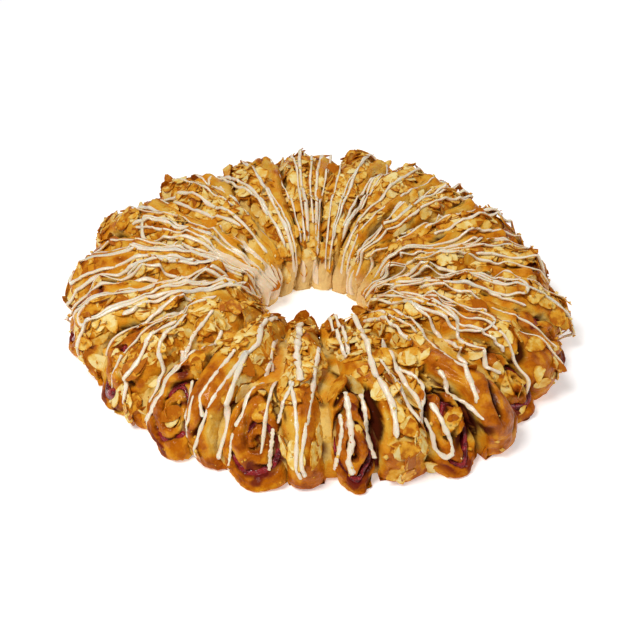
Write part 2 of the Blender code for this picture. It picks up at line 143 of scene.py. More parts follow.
# %% Arrays into a mesh
def signed_volume(points, quads, triangles):
    """Six times the volume inside closed faces: the sum of corner triple products."""
    halves = [triangles, quads[:, [0, 1, 2]], quads[:, [0, 2, 3]]]
    corners = points[np.concatenate([half for half in halves if len(half)])]
    return (corners[:, 0] * np.cross(corners[:, 1], corners[:, 2])).sum()


def mesh_piece(name, points, quads, triangles, fields, material):
    """Makes a shown piece from arrays, turns its faces outwards and lets it ride on the frame."""
    points = np.asarray(points, float)
    quads = np.asarray(quads, int).reshape(-1, 4)
    triangles = np.asarray(triangles, int).reshape(-1, 3)
    if signed_volume(points, quads, triangles) < 0:
        quads = quads[:, ::-1]
        triangles = triangles[:, ::-1]
    mesh = bpy.data.meshes.new(name)
    mesh.vertices.add(len(points))
    mesh.vertices.foreach_set("co", points.astype(np.float32).ravel())
    corners = np.concatenate([quads.ravel(), triangles.ravel()])
    starts = np.concatenate([
        4 * np.arange(len(quads)),
        4 * len(quads) + 3 * np.arange(len(triangles)),
    ])
    mesh.loops.add(len(corners))
    mesh.loops.foreach_set("vertex_index", corners.astype(np.int32))
    mesh.polygons.add(len(starts))
    mesh.polygons.foreach_set("loop_start", starts.astype(np.int32))
    mesh.update(calc_edges=True)
    mesh.polygons.foreach_set("use_smooth", np.ones(len(starts), bool))
    for field, values in fields.items():
        layer = mesh.attributes.new(field, "FLOAT", "POINT")
        layer.data.foreach_set("value", np.asarray(values, np.float32).ravel())
    mesh.materials.append(material)
    piece = bpy.data.objects.new(name, mesh)
    bpy.context.scene.collection.objects.link(piece)
    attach(piece, "root")
    return piece


# %% [markdown]
# ## The slices
# Eighteen slices fan round the hole. Their places follow one formula, and five random draws a slice
# change its two widths, height, length and cut end, as no two cuts of a knife are alike. The ring is a
# little oval, as it was shaped by hand: three rows of numbers say how far each slab's foot and the coil
# after it reach beyond the round outline in millimetres, and how much higher the slab is in percent. All
# slices are worked out at once: each value below is an array with one entry a slice.

# %% Places and sizes of the slices
SLICE_COUNT = 18
SLICE_PITCH = TURN / SLICE_COUNT
FAN_WARP = 9.2 * DEGREE
FAN_PHASE = 25 * DEGREE
FAN_START = -5.6 * DEGREE
MEAN_SWEEP = 5 * DEGREE
SWEEP_CHANGE = 6 * DEGREE
SLICE_SEED = 11
SLAB_CREST_WIDTH = 33 * MM
SLAB_CREST_CHANGE = 4 * MM
SLAB_FOOT_WIDTH = 27 * MM
SLAB_FOOT_CHANGE = 10 * MM
SLAB_INNER_SHARE = 1.05
SLAB_HEIGHT_CHANGE = 0.01
SLAB_LENGTH_CHANGE = 1 * MM
SLAB_REACHES = (-4, -2, 9, 0.5, 1.5, -7, -11, -8, -4, -2, -2, -3, -1, 7, 2.5, -4.5, -16, -8)
COIL_REACHES = (2, 2.5, 1, 1, 4.5, -7, -9, -6, -3, -1, -1, 0, 1, 3, 1.5, -9, -11, -2.5)
SLAB_RISES = (0, -3, 0, 1, -2, -1.5, -0.5, 2, 1, 1.5, 0, -3.5, -4.5, -3, -1, 0, 3, 1.5)
COIL_FACE_SHIFT = 3 * MM

slice_draws = np.random.default_rng(SLICE_SEED).uniform(-1, 1, (SLICE_COUNT, 5))
slice_turn = np.arange(SLICE_COUNT) * SLICE_PITCH
slice_azimuth = slice_turn + FAN_WARP * np.sin(slice_turn + FAN_PHASE) + FAN_START
slice_sweep = MEAN_SWEEP - SWEEP_CHANGE * np.sin(slice_azimuth)
foot_width = SLAB_FOOT_WIDTH + SLAB_FOOT_CHANGE * slice_draws[:, 0]
slice_height = 1 + np.array(SLAB_RISES) / 100 + SLAB_HEIGHT_CHANGE * slice_draws[:, 1]
slice_length = MM * np.array(SLAB_REACHES) + SLAB_LENGTH_CHANGE * slice_draws[:, 2]
backward = away_from(slice_azimuth)
face_shift = COIL_FACE_SHIFT * slice_draws[:, 3]
crest_width = SLAB_CREST_WIDTH + SLAB_CREST_CHANGE * slice_draws[:, 4]


# %% Helpers that read the slices' values
def each(values):
    """One value a slice, shaped so that it meets grids of slice, row and column."""
    return values[:, None, None]


def following(values):
    """The same values of the next slice round the ring."""
    return np.roll(values, -1)


next_azimuth = following(slice_azimuth) + TURN * (np.arange(SLICE_COUNT) == SLICE_COUNT - 1)


def sweep_share(radius):
    """0 at the outer rim and 1 at the hole."""
    return (OUTER_RADIUS - radius) / (OUTER_RADIUS - HOLE_RADIUS)


def slab_width(radius, at_crest, at_foot):
    """Width that runs straight from the hole to the crest, and from there to the foot."""
    inner = SLAB_INNER_SHARE * HOLE_RADIUS * SLICE_PITCH
    rising = (radius - HOLE_RADIUS) / (CREST_RADIUS - HOLE_RADIUS)
    falling = (radius - CREST_RADIUS) / (OUTER_RADIUS - CREST_RADIUS)
    near_hole = inner + (at_crest - inner) * rising
    near_foot = at_crest + (at_foot - at_crest) * falling
    return np.where(radius < CREST_RADIUS, near_hole, near_foot)


def on_ring(radius, azimuth, sideways, height):
    """World points: out from the ring's middle, round by the azimuth, then sideways and up."""
    x = RING_MIDDLE_X + radius * np.sin(azimuth) + sideways * np.cos(azimuth)
    y = RING_MIDDLE_Y - radius * np.cos(azimuth) + sideways * np.sin(azimuth)
    return np.stack(np.broadcast_arrays(x, y, height), -1)


def envelope_height(radius):
    """Height of the rounded outline over a radius: a superellipse on each side of the crest."""
    outside = radius > CREST_RADIUS
    reach = np.where(outside, OUTER_RADIUS - CREST_RADIUS, CREST_RADIUS - HOLE_RADIUS)
    base = np.where(outside, OUTER_BULGE_HEIGHT, INNER_BULGE_HEIGHT)
    power = np.where(outside, OUTER_POWER, INNER_POWER)
    share = np.minimum(np.abs(radius - CREST_RADIUS) / reach, 1)
    return base + (CREST_HEIGHT - base) * (1 - share ** power) ** (1 / power)


print("slices at", np.degrees(slice_azimuth).round().astype(int), "degrees")

# %% [markdown]
# ## The slabs of crust
# A slab is one outline, from the hole over the crest to the foot, carried through its thickness. A loft
# would do, but here every point has a formula: the outline gives radius and height, and a crown across
# the thickness lowers it towards both sides. The section is a closed loop, with its walls and underside,
# so that each slab is a closed body.

# %% The outline, evenly spaced
OUTLINE_POINTS = 150
QUARTER_POINTS = 60


def even_outline(count):
    """Radius and height from the hole's foot to the outer foot: a rounded foot, the two superellipses
    and the other foot, read at equal steps of length."""
    quarter = np.linspace(0, np.pi / 2, QUARTER_POINTS)
    inner_foot = (
        HOLE_RADIUS + (INNER_FOOT_RADIUS - HOLE_RADIUS) * (1 - np.sin(quarter)),
        INNER_BULGE_HEIGHT * (1 - np.cos(quarter)),
    )
    inner_radius = CREST_RADIUS - (CREST_RADIUS - HOLE_RADIUS) * np.cos(quarter)
    outer_radius = CREST_RADIUS + (OUTER_RADIUS - CREST_RADIUS) * np.sin(quarter) ** (2 / OUTER_POWER)
    outer_foot = (
        OUTER_FOOT_RADIUS + (OUTER_RADIUS - OUTER_FOOT_RADIUS) * np.cos(quarter),
        OUTER_BULGE_HEIGHT * (1 - np.sin(quarter)),
    )
    radius = np.concatenate([inner_foot[0], inner_radius[1:], outer_radius[1:], outer_foot[0][1:]])
    height = np.concatenate([
        inner_foot[1],
        envelope_height(inner_radius[1:]),
        envelope_height(outer_radius[1:]),
        outer_foot[1][1:],
    ])
    length = np.concatenate([[0], np.cumsum(np.hypot(np.diff(radius), np.diff(height)))])
    even = np.linspace(0, length[-1], count)
    return np.interp(even, length, radius), np.interp(even, length, height), length[-1]


outline_radius, outline_height, outline_length = even_outline(OUTLINE_POINTS)
print("outline length in mm", round(outline_length / MM, 1))

# %% The ring settles
SETTLE = 1.2 * MM
SETTLE_LENGTH = 62 * MM
SETTLE_HEIGHT = 30 * MM
SETTLE_SEED = 21


def settled(points):
    """Points moved by a slow field, as the ring sank unevenly while it baked: sideways everywhere, and
    up or down in full above the settle height, less below it."""
    moves = SETTLE * np.stack([waves(points, SETTLE_LENGTH, SETTLE_SEED + side) for side in range(3)], -1)
    moves[..., 2] *= smooth_step(0, SETTLE_HEIGHT, points[..., 2])
    return points + moves


# %% The slabs as one array
SLAB_LEAN = 0.20
SLAB_ROUNDNESS = 2.6
TOPPING_ROOM = 0.94
SLAB_EDGE_HEIGHT = 0.55
SLAB_END_ROUNDING = 0.12
HOLE_END_ROUNDING = 0.07
CROWN_POINTS = 44
WALL_POINTS = 5
FLOOR_POINTS = 7


def slab_grid(radius, height):
    """Points of all slabs on a grid of slice, station along the outline and place round the section.
    Across the thickness the height is the outline's times 0.55 to 1, by a superellipse crown, and a
    little less to leave room for toppings; the walls draw in to the foot on their way down."""
    across = np.sin(np.linspace(-np.pi / 2, np.pi / 2, CROWN_POINTS))
    down = np.linspace(1, 0, WALL_POINTS + 1)[1:]
    back = np.linspace(1, -1, FLOOR_POINTS + 2)[1:-1]
    layer = np.concatenate([across, np.ones(WALL_POINTS), back, -np.ones(WALL_POINTS)])
    crown = (1 - np.abs(across) ** SLAB_ROUNDNESS) ** (1 / SLAB_ROUNDNESS)
    rise = np.concatenate([
        SLAB_EDGE_HEIGHT + (1 - SLAB_EDGE_HEIGHT) * crown,
        SLAB_EDGE_HEIGHT * down,
        np.zeros(FLOOR_POINTS),
        SLAB_EDGE_HEIGHT * down[::-1],
    ])
    height_left = np.concatenate([
        np.ones(CROWN_POINTS), np.sqrt(down), np.zeros(FLOOR_POINTS), np.sqrt(down[::-1]),
    ])
    out = radius[:, None] - CREST_RADIUS
    reach = 1 - np.where(out < 0, HOLE_END_ROUNDING, SLAB_END_ROUNDING) * np.abs(layer) ** 3
    far = CREST_RADIUS + out * reach
    longer = each(slice_length) * np.maximum(out, 0) / (OUTER_RADIUS - CREST_RADIUS)
    foot = np.clip(far, INNER_FOOT_RADIUS, OUTER_FOOT_RADIUS)
    far = foot + (far - foot) * height_left
    up = np.maximum(height[:, None] * rise * each(slice_height) * TOPPING_ROOM, UNDERSIDE_GAP)
    station = radius[:, None]
    width = slab_width(station, each(crest_width), each(foot_width))
    sideways = 0.5 * layer * width - SLAB_LEAN * up
    azimuth = each(slice_azimuth) + each(slice_sweep) * sweep_share(station)
    return on_ring(far + longer, azimuth, sideways, up), layer


slab_base, slab_layer = slab_grid(outline_radius, outline_height)
slab_base = settled(slab_base)
print("slab points", slab_base.shape)

# %% [markdown]
# Risen dough swells in broad soft lumps, its skin pulls into folds along the slice, and fine blisters
# cover it. Three sizes of relief push each point along its own outward direction. Near the floor the
# relief fades, as the ring lies flat.

# %% Relief of the slabs
LUMP_LENGTH = 34 * MM
LUMP_DEPTH = 1.0 * MM
LUMP_LIMIT = 1.2
LUMP_SEED = 100
FOLD_LENGTH = 9 * MM
FOLD_DEPTH = 0.6 * MM
FOLD_LEVEL = 0.6
FOLD_STRETCH = 0.22
FOLD_SEED = 200
MIDDLE_FOLDS = 0.35
FOLDED_LAYERS = (0.2, 0.9)
BLISTER_LENGTH = 4.2 * MM
BLISTER_DEPTH = 0.16 * MM
BLISTER_SEED = 300
FLOOR_FADE = 3 * MM


def slab_relief(grid, layer, number):
    """Outward push: lumps, folds drawn out along the slice and stronger towards its sides, and
    blisters."""
    lumps = LUMP_DEPTH * np.minimum(waves(grid, LUMP_LENGTH, LUMP_SEED + number), LUMP_LIMIT)
    out = np.hypot(grid[..., 0], grid[..., 1])
    side = 0.5 * layer * SLAB_CREST_WIDTH
    unrolled = np.stack(np.broadcast_arrays(out * FOLD_STRETCH, side, grid[..., 2] * FOLD_STRETCH), -1)
    folds = FOLD_DEPTH * (FOLD_LEVEL - np.abs(waves(unrolled, FOLD_LENGTH, FOLD_SEED + number)))
    folds = folds * (MIDDLE_FOLDS + (1 - MIDDLE_FOLDS) * smooth_step(*FOLDED_LAYERS, np.abs(layer)))
    blisters = BLISTER_DEPTH * waves(grid, BLISTER_LENGTH, BLISTER_SEED + number)
    return (lumps + folds + blisters) * smooth_step(0, FLOOR_FADE, grid[..., 2])


slab_grids = np.stack([
    grid + grid_outward(grid) * slab_relief(grid, slab_layer, number)[..., None]
    for number, grid in enumerate(slab_base)
])
print("highest slab point in mm", round(slab_grids[..., 2].max() / MM, 1))

# %% [markdown]
# ## The coils
# Between two slabs lies the rolled core of the slice. Its body is a row of leaning ovals that grow
# outwards, and its cut end is a disc with a spiral in relief: each turn of dough bulges, and the jam
# lies in the groove between the turns. The disc is read in polar form, share of the radius and angle,
# so the spiral is one line: groove where share over pitch plus angle in turns is a whole number. Two
# coils differ: the free one in front is narrower, and the forward one at the left stands further out.

# %% Sections of the coils
COIL_DROP = 7 * MM
COIL_CREASE = 3 * MM
COIL_CREASE_CHANGE = 11 * MM
COIL_TAPER = 0.30
COIL_OVERLAP = 1.5
COIL_LEAST_SHARE = 0.35
FREE_COIL = 0
FREE_SQUEEZE = 0.27
FREE_SHIFT = -3.2 * MM
FREE_CREASE = 4 * MM
FORWARD_COIL = 16
FORWARD_REACH = 4 * MM
COIL_LEAN = 0.10
COIL_TOP_RADII = (44 * MM, 58 * MM, 88 * MM)
COIL_FOOT_RADII = (44 * MM, 58 * MM, 90 * MM)
COIL_BACK_REACH = 21 * MM
COIL_BACK_RISE = 0.75
DROP_SHARE_AT_HOLE = 0.35
COIL_FOOT_HEIGHT = -3 * MM
COIL_UNDERSIDE = 0.9 * MM
COIL_SIDES = 96
COIL_STATIONS = 26
FACE_RINGS = 40
FACE_TOP_RADIUS = 130 * MM
FACE_FOOT_RADIUS = 169 * MM
FACE_RIM_SHARE = 0.86
FACE_RIM_DROP = 6 * MM
CREASE_RISE = (50 * MM, 78 * MM)
CREASE_FALL = (127 * MM, 106 * MM)
DROP_RISE = (44 * MM, 88 * MM)
FREE_RISE = (95 * MM, 122 * MM)

coil_azimuth = 0.5 * (slice_azimuth + next_azimuth)
coil_sweep = 0.5 * (slice_sweep + following(slice_sweep))
coil_gap = next_azimuth - slice_azimuth
coil_gap_sweep = following(slice_sweep) - slice_sweep
crease_draws = np.random.default_rng(SLICE_SEED + 1).uniform(0, 1, SLICE_COUNT)
stands_free = np.arange(SLICE_COUNT) == FREE_COIL
sunk_share = 1 - COIL_BACK_RISE * backward
coil_drop = COIL_DROP * sunk_share
coil_crease = (COIL_CREASE + COIL_CREASE_CHANGE * crease_draws + FREE_CREASE * stands_free) * sunk_share


def coil_points(top_radius, foot_radius, across, along, push):
    """Points of leaning sections. The section's middle lies between its top, under the outline, and its
    foot; along runs up the section, across runs sideways, and push moves outwards from its plane. The
    section narrows from its middle to its top, and behind the cut end the coil sinks into a crease, less
    so near the hole. One coil in front is narrower, so that a gap opens beside it."""
    crease = smooth_step(*CREASE_RISE, top_radius) * smooth_step(*CREASE_FALL, top_radius)
    drop = DROP_SHARE_AT_HOLE + (1 - DROP_SHARE_AT_HOLE) * smooth_step(*DROP_RISE, top_radius)
    sinking = each(coil_drop) * drop + each(coil_crease) * crease
    top_height = envelope_height(top_radius) * each(slice_height) - sinking
    middle_radius = 0.5 * (top_radius + foot_radius)
    middle_height = 0.5 * (top_height + COIL_FOOT_HEIGHT)
    half_radius = 0.5 * (top_radius - foot_radius)
    half_height = 0.5 * (top_height - COIL_FOOT_HEIGHT)
    length = np.hypot(half_radius, half_height)
    radius = middle_radius + half_radius * along + push * half_height / length
    height = middle_height + half_height * along - push * half_radius / length
    share = sweep_share(middle_radius)
    gap = (each(coil_gap) + each(coil_gap_sweep) * share) * middle_radius
    here = slab_width(middle_radius, each(crest_width), each(foot_width))
    there = slab_width(middle_radius, each(following(crest_width)), each(following(foot_width)))
    slabs = 0.5 * (here + there)
    half_width = np.maximum(0.5 * COIL_OVERLAP * (gap - slabs), COIL_LEAST_SHARE * gap)
    free = each(stands_free) * smooth_step(*FREE_RISE, top_radius)
    half_width = half_width * (1 - FREE_SQUEEZE * free) * (1 - COIL_TAPER * np.maximum(along, 0))
    sideways = half_width * across + FREE_SHIFT * free - COIL_LEAN * height
    azimuth = each(coil_azimuth) + each(coil_sweep) * share
    height = np.maximum(height, COIL_UNDERSIDE)
    return settled(on_ring(radius, azimuth, sideways, height))


coil_reach = MM * np.array(COIL_REACHES) + FORWARD_REACH * (np.arange(SLICE_COUNT) == FORWARD_COIL)
face_top = FACE_TOP_RADIUS + each(face_shift + coil_reach + COIL_BACK_REACH * backward)
face_foot = FACE_FOOT_RADIUS + each(0.5 * face_shift + coil_reach)

# %% [markdown]
# The spiral keeps the frame's jam ribbon in its groove: the ribbon starts at 165 degrees with 0.72 of
# the radius and winds inwards to 0.27 at 545 degrees.

# %% The spiral in the cut ends
JAM_START_ANGLE = 165 * DEGREE
JAM_END_ANGLE = 545 * DEGREE
JAM_START_SHARE = 0.72
JAM_END_SHARE = 0.27
SPIRAL_PITCH = (JAM_START_SHARE - JAM_END_SHARE) * TURN / (JAM_END_ANGLE - JAM_START_ANGLE)
LAYER_BULGE = 2.6 * MM
GROOVE_DEPTH = 2.4 * MM
GROOVE_SHARE = 0.13
DOME_HEIGHT = 7.5 * MM
LIP_HEIGHT = 2.6 * MM
LIP_SHARES = (0.62, 0.8)
CALM_SHARES = (0.06, 0.2)
RIM_POWER = 2.5
WOBBLE_SHARE = 0.05
WOBBLE_LENGTH = 0.9
WOBBLE_STEP = 0.9
WOBBLE_SEED = 41


def spiral_phase(share, angle):
    """Which turn of the spiral a point of the disc lies in: whole numbers are the grooves."""
    return (share - JAM_START_SHARE) / SPIRAL_PITCH + (angle - JAM_START_ANGLE) / TURN


def face_wobble(share, angle):
    """Soft waves over the cut ends, one field a slice: read at the place on the disc, and at a height
    that is the slice's number times a step."""
    x, y = np.broadcast_arrays(share * np.cos(angle), share * np.sin(angle))
    fields = []
    for number in range(SLICE_COUNT):
        places = np.stack([x, y, np.full(x.shape, WOBBLE_STEP * number)], -1)
        fields.append(waves(places, WOBBLE_LENGTH, WOBBLE_SEED))
    return np.stack(fields)


def face_dome(share):
    """The dome of the cut end: a parabola from its middle to the rim's share."""
    return DOME_HEIGHT * (1 - np.minimum(share / FACE_RIM_SHARE, 1) ** 2)


def face_push(share, angle, wobble):
    """How far the cut end stands out of its plane: a dome, a rounded rim, bulging turns with grooves
    between them, and a lower lip of the outermost turn."""
    phase = spiral_phase(share + WOBBLE_SHARE * wobble, angle)
    from_groove = np.abs(phase - np.round(phase))
    calm = smooth_step(*CALM_SHARES, share)
    bulge = LAYER_BULGE * (1 - (1 - 2 * from_groove) ** 3)
    groove = GROOVE_DEPTH * (1 - smooth_step(0, GROOVE_SHARE, from_groove))
    rim = FACE_RIM_DROP * np.clip((share - FACE_RIM_SHARE) / (1 - FACE_RIM_SHARE), 0, 1) ** RIM_POWER
    below = np.maximum(-np.sin(angle), 0)
    lip = LIP_HEIGHT * below * smooth_step(*LIP_SHARES, share)
    return face_dome(share) - rim + lip + calm * (bulge - groove), from_groove


# %% The coils as one array
FACE_LEAST_SHARE = 0.02

body_share = np.linspace(0, 1, COIL_STATIONS)[None, :, None]
body_angle = np.linspace(0, TURN, COIL_SIDES, endpoint=False)


def grown(radii, lasts):
    """Radii at the stations of every coil: straight lines through the given ones to the coil's own."""
    marks = np.linspace(0, 1, len(radii) + 1)
    return np.stack([
        np.interp(body_share[0, :, 0], marks, [*radii, last]) for last in lasts.ravel()
    ])[..., None]


coil_body = coil_points(
    grown(COIL_TOP_RADII, face_top), grown(COIL_FOOT_RADII, face_foot),
    np.cos(body_angle), np.sin(body_angle), -FACE_RIM_DROP * body_share,
)

face_share = np.linspace(1, FACE_LEAST_SHARE, FACE_RINGS)[None, :, None]
push, from_groove = face_push(face_share, body_angle, face_wobble(face_share[0], body_angle))
coil_face = coil_points(
    face_top, face_foot, face_share * np.cos(body_angle), face_share * np.sin(body_angle), push,
)
coil_base = np.concatenate([coil_body[:, :-1], coil_face], 1)
print("coil points", coil_base.shape)

# %% Relief of the coils
COIL_LUMP_LENGTH = 20 * MM
COIL_LUMP_DEPTH = 0.9 * MM
COIL_LUMP_SEED = 400
WRINKLE_LENGTH = 6 * MM
WRINKLE_DEPTH = 0.35 * MM
WRINKLE_SEED = 450
COIL_BLISTER_LENGTH = 3.4 * MM
COIL_BLISTER_SEED = 500


def coil_relief(grid, number):
    """Outward push of lumps and blisters, and wrinkles that cut in, all fading towards the floor."""
    lumps = COIL_LUMP_DEPTH * waves(grid, COIL_LUMP_LENGTH, COIL_LUMP_SEED + number)
    wrinkles = -WRINKLE_DEPTH * np.abs(waves(grid, WRINKLE_LENGTH, WRINKLE_SEED + number))
    blisters = BLISTER_DEPTH * waves(grid, COIL_BLISTER_LENGTH, COIL_BLISTER_SEED + number)
    return (lumps + wrinkles + blisters) * smooth_step(0, FLOOR_FADE, grid[..., 2])


coil_grids = np.stack([
    grid + grid_outward(grid) * coil_relief(grid, number)[..., None]
    for number, grid in enumerate(coil_base)
])

# %% [markdown]
# ## A map of the dough
# Toppings have to land on the dough, whichever side of the ring they are on. Ray casting works one point
# at a time, so a map is made instead: the ring has a spine, the circle under its crest, and for every
# azimuth and every angle round the spine the map holds how far the outermost surface lies from it. The
# map is filled by a maximum over all surface points, and read by interpolation.

# %% Spine coordinates
SPINE_HEIGHT = 14 * MM
MAP_COLUMNS = 1320
MAP_ROWS = 250
MAP_LOW = -16 * DEGREE
MAP_HIGH = 198 * DEGREE


def to_spine(points):
    """Azimuth round the ring, angle round the spine (0 outwards, 90 degrees up) and distance."""
    x = points[..., 0] - RING_MIDDLE_X
    y = points[..., 1] - RING_MIDDLE_Y
    out = np.hypot(x, y) - CREST_RADIUS
    up = points[..., 2] - SPINE_HEIGHT
    angle = np.arctan2(up, out)
    return np.arctan2(x, -y) % TURN, np.where(angle < -np.pi / 2, angle + TURN, angle), np.hypot(out, up)


def from_spine(azimuth, angle, distance):
    """World points of spine coordinates."""
    radius = CREST_RADIUS + distance * np.cos(angle)
    return on_ring(radius, azimuth, 0.0, SPINE_HEIGHT + distance * np.sin(angle))


def map_place(azimuth, angle):
    """Column and row of the map, as fractions."""
    return azimuth % TURN / TURN * MAP_COLUMNS, (angle - MAP_LOW) / (MAP_HIGH - MAP_LOW) * (MAP_ROWS - 1)


# %% Filling and reading the map
def pressed_in(field, points):
    """The field raised to the distance of every point that stands out of it."""
    azimuth, angle, distance = (part.ravel() for part in to_spine(points))
    column, row = map_place(azimuth, angle)
    column = column.astype(int) % MAP_COLUMNS
    row = np.rint(row).astype(int)
    inside = (row >= 0) & (row < MAP_ROWS)
    raised = field.copy()
    np.maximum.at(raised, (column[inside], row[inside]), distance[inside])
    return raised


def spread(field, cells, pick):
    """The largest (np.maximum) or smallest (np.minimum) value within some cells of each cell."""
    for _ in range(cells):
        field = pick(pick(field, np.roll(field, 1, 0)), np.roll(field, -1, 0))
        field = pick(pick(field, np.pad(field, ((0, 0), (1, 0)), "edge")[:, :-1]),
                     np.pad(field, ((0, 0), (0, 1)), "edge")[:, 1:])
    return field


def blurred(field, cells, rounds=2):
    """Running mean over each cell and some cells to each side, wrapped round the ring, in some rounds."""
    span = 2 * cells + 1
    for _ in range(rounds):
        total = np.cumsum(np.concatenate([field[-cells - 1:], field, field[:cells]]), 0)
        field = (total[span:] - total[:-span]) / span
        padded = np.pad(field, ((0, 0), (cells + 1, cells)), "edge")
        total = np.cumsum(padded, 1)
        field = (total[:, span:] - total[:, :-span]) / span
    return field


def read_map(field, azimuth, angle):
    """Values between the cells, by their four nearest."""
    column, row = map_place(azimuth, angle)
    row = np.clip(row, 0, MAP_ROWS - 1.001)
    left = np.floor(column).astype(int)
    low = np.floor(row).astype(int)
    right_share = column - left
    high_share = row - low
    left %= MAP_COLUMNS
    right = (left + 1) % MAP_COLUMNS
    near = field[left, low] * (1 - high_share) + field[left, low + 1] * high_share
    far = field[right, low] * (1 - high_share) + field[right, low + 1] * high_share
    return near * (1 - right_share) + far * right_share


# %% The map of the bare dough
MAP_REFINE = 3
MAP_FILL_CELLS = 2


def refined(grid, times):
    """A grid read at more points: straight lines between neighbours, closed along its second side."""
    closed = np.concatenate([grid, grid[:, :1]], 1)
    for axis in (0, 1):
        count = closed.shape[axis]
        place = np.linspace(0, count - 1, (count - 1) * times + 1)
        low = np.minimum(place.astype(int), count - 2)
        share = (place - low).reshape((-1, 1, 1) if axis == 0 else (1, -1, 1))
        closed = np.take(closed, low, axis) * (1 - share) + np.take(closed, low + 1, axis) * share
    return closed


def map_of_dough():
    """The map filled from all slabs and coils; cells that no point met take their neighbours' value."""
    field = np.zeros((MAP_COLUMNS, MAP_ROWS))
    for grid in [*slab_grids, *coil_grids]:
        field = pressed_in(field, refined(grid, MAP_REFINE))
    return np.where(field == 0, spread(field, MAP_FILL_CELLS, np.maximum), field)


dough_map = map_of_dough()
print("map cells without a surface", int((dough_map == 0).sum()), "of", dough_map.size)

# %% [markdown]
# Where a coil meets a slab the dough shrank apart as it baked. The seams are the cells that lie lower
# than their near surroundings, and points of the surface there sink further, in proportion to what
# the seam has over a least depth.

# %% Sunken seams
SEAM_LOW = 0.4 * MM
SEAM_MOST = 3.2 * MM
SEAM_GAIN = 1.9
SEAM_SKIN = 5 * MM
SEAM_CELLS = 5
SEAM_RISE = (4 * MM, 14 * MM)


def print_depths(name, field):
    """What half, 80, 90, 95 and 99 in a hundred of the cells stay under, in millimetres."""
    print(name, np.percentile(field / MM, [50, 80, 90, 95, 99]).round(1))


def sunk_at_seams(grid, seams):
    """Points near the surface moved towards the spine by the gain times the depth of the seam there."""
    azimuth, angle, distance = to_spine(grid)
    depth = np.clip(read_map(seams, azimuth, angle) - SEAM_LOW, 0, SEAM_MOST)
    skin = smooth_step(SEAM_SKIN, 0.5 * SEAM_SKIN, read_map(dough_map, azimuth, angle) - distance)
    above = smooth_step(*SEAM_RISE, grid[..., 2])
    return from_spine(azimuth, angle, distance - SEAM_GAIN * depth * skin * above)


seam_map = blurred(dough_map, SEAM_CELLS) - dough_map
slab_grids = sunk_at_seams(slab_grids, seam_map)
coil_grids = sunk_at_seams(coil_grids, seam_map)
dough_map = map_of_dough()
print_depths("seam depths in mm", seam_map)

# %% [markdown]
# Some gaps tore deeper than the seams. Each is a line of places on the dough: first its depth in
# millimetres, its half width in map cells and how much jam ran in, then azimuths round the ring and
# angles round the spine in degrees. A line is stamped on a map, spread to its width and softened, and
# the dough is cut down to the depth that the map holds.

# %% Places of the torn gaps
GAPS = (
    (6, 1, 0.15, ((4.7, 43), (6, 50), (7.8, 55), (10.7, 59))),
    (10, 3, 0.05, ((11.2, 59), (13.4, 51), (14.2, 41), (14.3, 31), (13.5, 23), (12.7, 17))),
    (6, 3, 0.8, ((13, 15), (12.8, 8), (11.5, 2), (10.2, -2))),
    (3, 1, 0.8, ((8.5, 24), (9, 16), (9.1, 8))),
    (5, 1, 0.2, ((-38.6, 31), (-37.7, 36), (-35.3, 42), (-33.2, 47), (-31.3, 48))),
    (6, 1, 0.3, ((-26.6, 32), (-25.8, 26), (-26.4, 18), (-27.8, 11))),
    (3, 1, 0.8, ((-31.5, 26), (-34.1, 26), (-35.1, 20))),
    (3, 1, 0.1, ((-16.6, 39), (-16.6, 29), (-16.3, 19), (-15.3, 10))),
    (3.5, 2, 0.9, ((-8.6, 21), (-9.4, 12), (-9.8, 6))),
    (3.5, 2, 0.8, ((-5.8, 9), (-8, 4), (-10.2, 0), (-13.9, 1))),
    (3.5, 1, 0.3, ((-7.7, 40), (-6.9, 33))),
    (4, 2, 0.8, ((2, 17), (2.1, 6))),
    (6, 1, 0.1, ((33.8, 63), (30.9, 49), (29.2, 37), (27.1, 25), (25.2, 16))),
    (7, 1, 0.1, ((32, 42), (32, 33), (31.4, 24))),
    (4, 3, 0.3, ((31.1, 4), (33.4, 7), (35.8, 9), (37.5, 10))),
    (6, 1, 0.1, ((44.5, 33), (41.6, 27), (40.4, 21), (40, 14))),
    (4, 2, 0.1, ((46.8, 16), (45.1, 10), (43.3, 3))),
    (4, 2, 0, ((59.8, 34), (56.9, 27), (55.5, 24))),
    (3.5, 1, 0, ((52.5, 28), (52.2, 36))),
    (3.5, 1, 0, ((36.2, 29), (35, 34))),
    (5, 2, 0, ((5.8, 93), (7, 84), (8.2, 75))),
    (4, 2, 0, ((5, 123), (1, 120), (-2.3, 120))),
    (3.5, 1, 0, ((-16.1, 101), (-14.1, 81))),
    (4, 2, 0.2, ((-48.5, 20), (-51.8, 20), (-55.5, 18))),
    (3.5, 1, 0, ((-54.5, 47), (-53.2, 39))),
    (3.5, 1, 0, ((-32.4, 49), (-35.1, 41))),
    (6, 2, 0, ((138, 75), (136.3, 99), (135.4, 119))),
    (5, 2, 0, ((111.2, 101), (109.4, 117))),
    (4, 1, 0, ((123.5, 140), (126.1, 146))),
    (6, 2, 0, ((-157.2, 105), (-154.6, 80))),
    (4, 1, 0, ((-132.7, 82), (-129.4, 74))),
    (4, 2, 0, ((-122.6, 147), (-114.3, 157))),
    (4, 1, 0, ((-92.5, 97), (-94.2, 81))),
    (4, 1, 0, ((-118.4, 118), (-119, 105))),
    (4, 1, 0, ((74.6, 67), (73.5, 74))),
)
STAMP_STEPS = 160
STAMP_END = 0.04
STAMP_ROUNDNESS = 0.4
GAP_RISE = (1 * MM, 7 * MM)
LEAST_CUT = 0.05 * MM
GAP_CLEAR_CELLS = 4


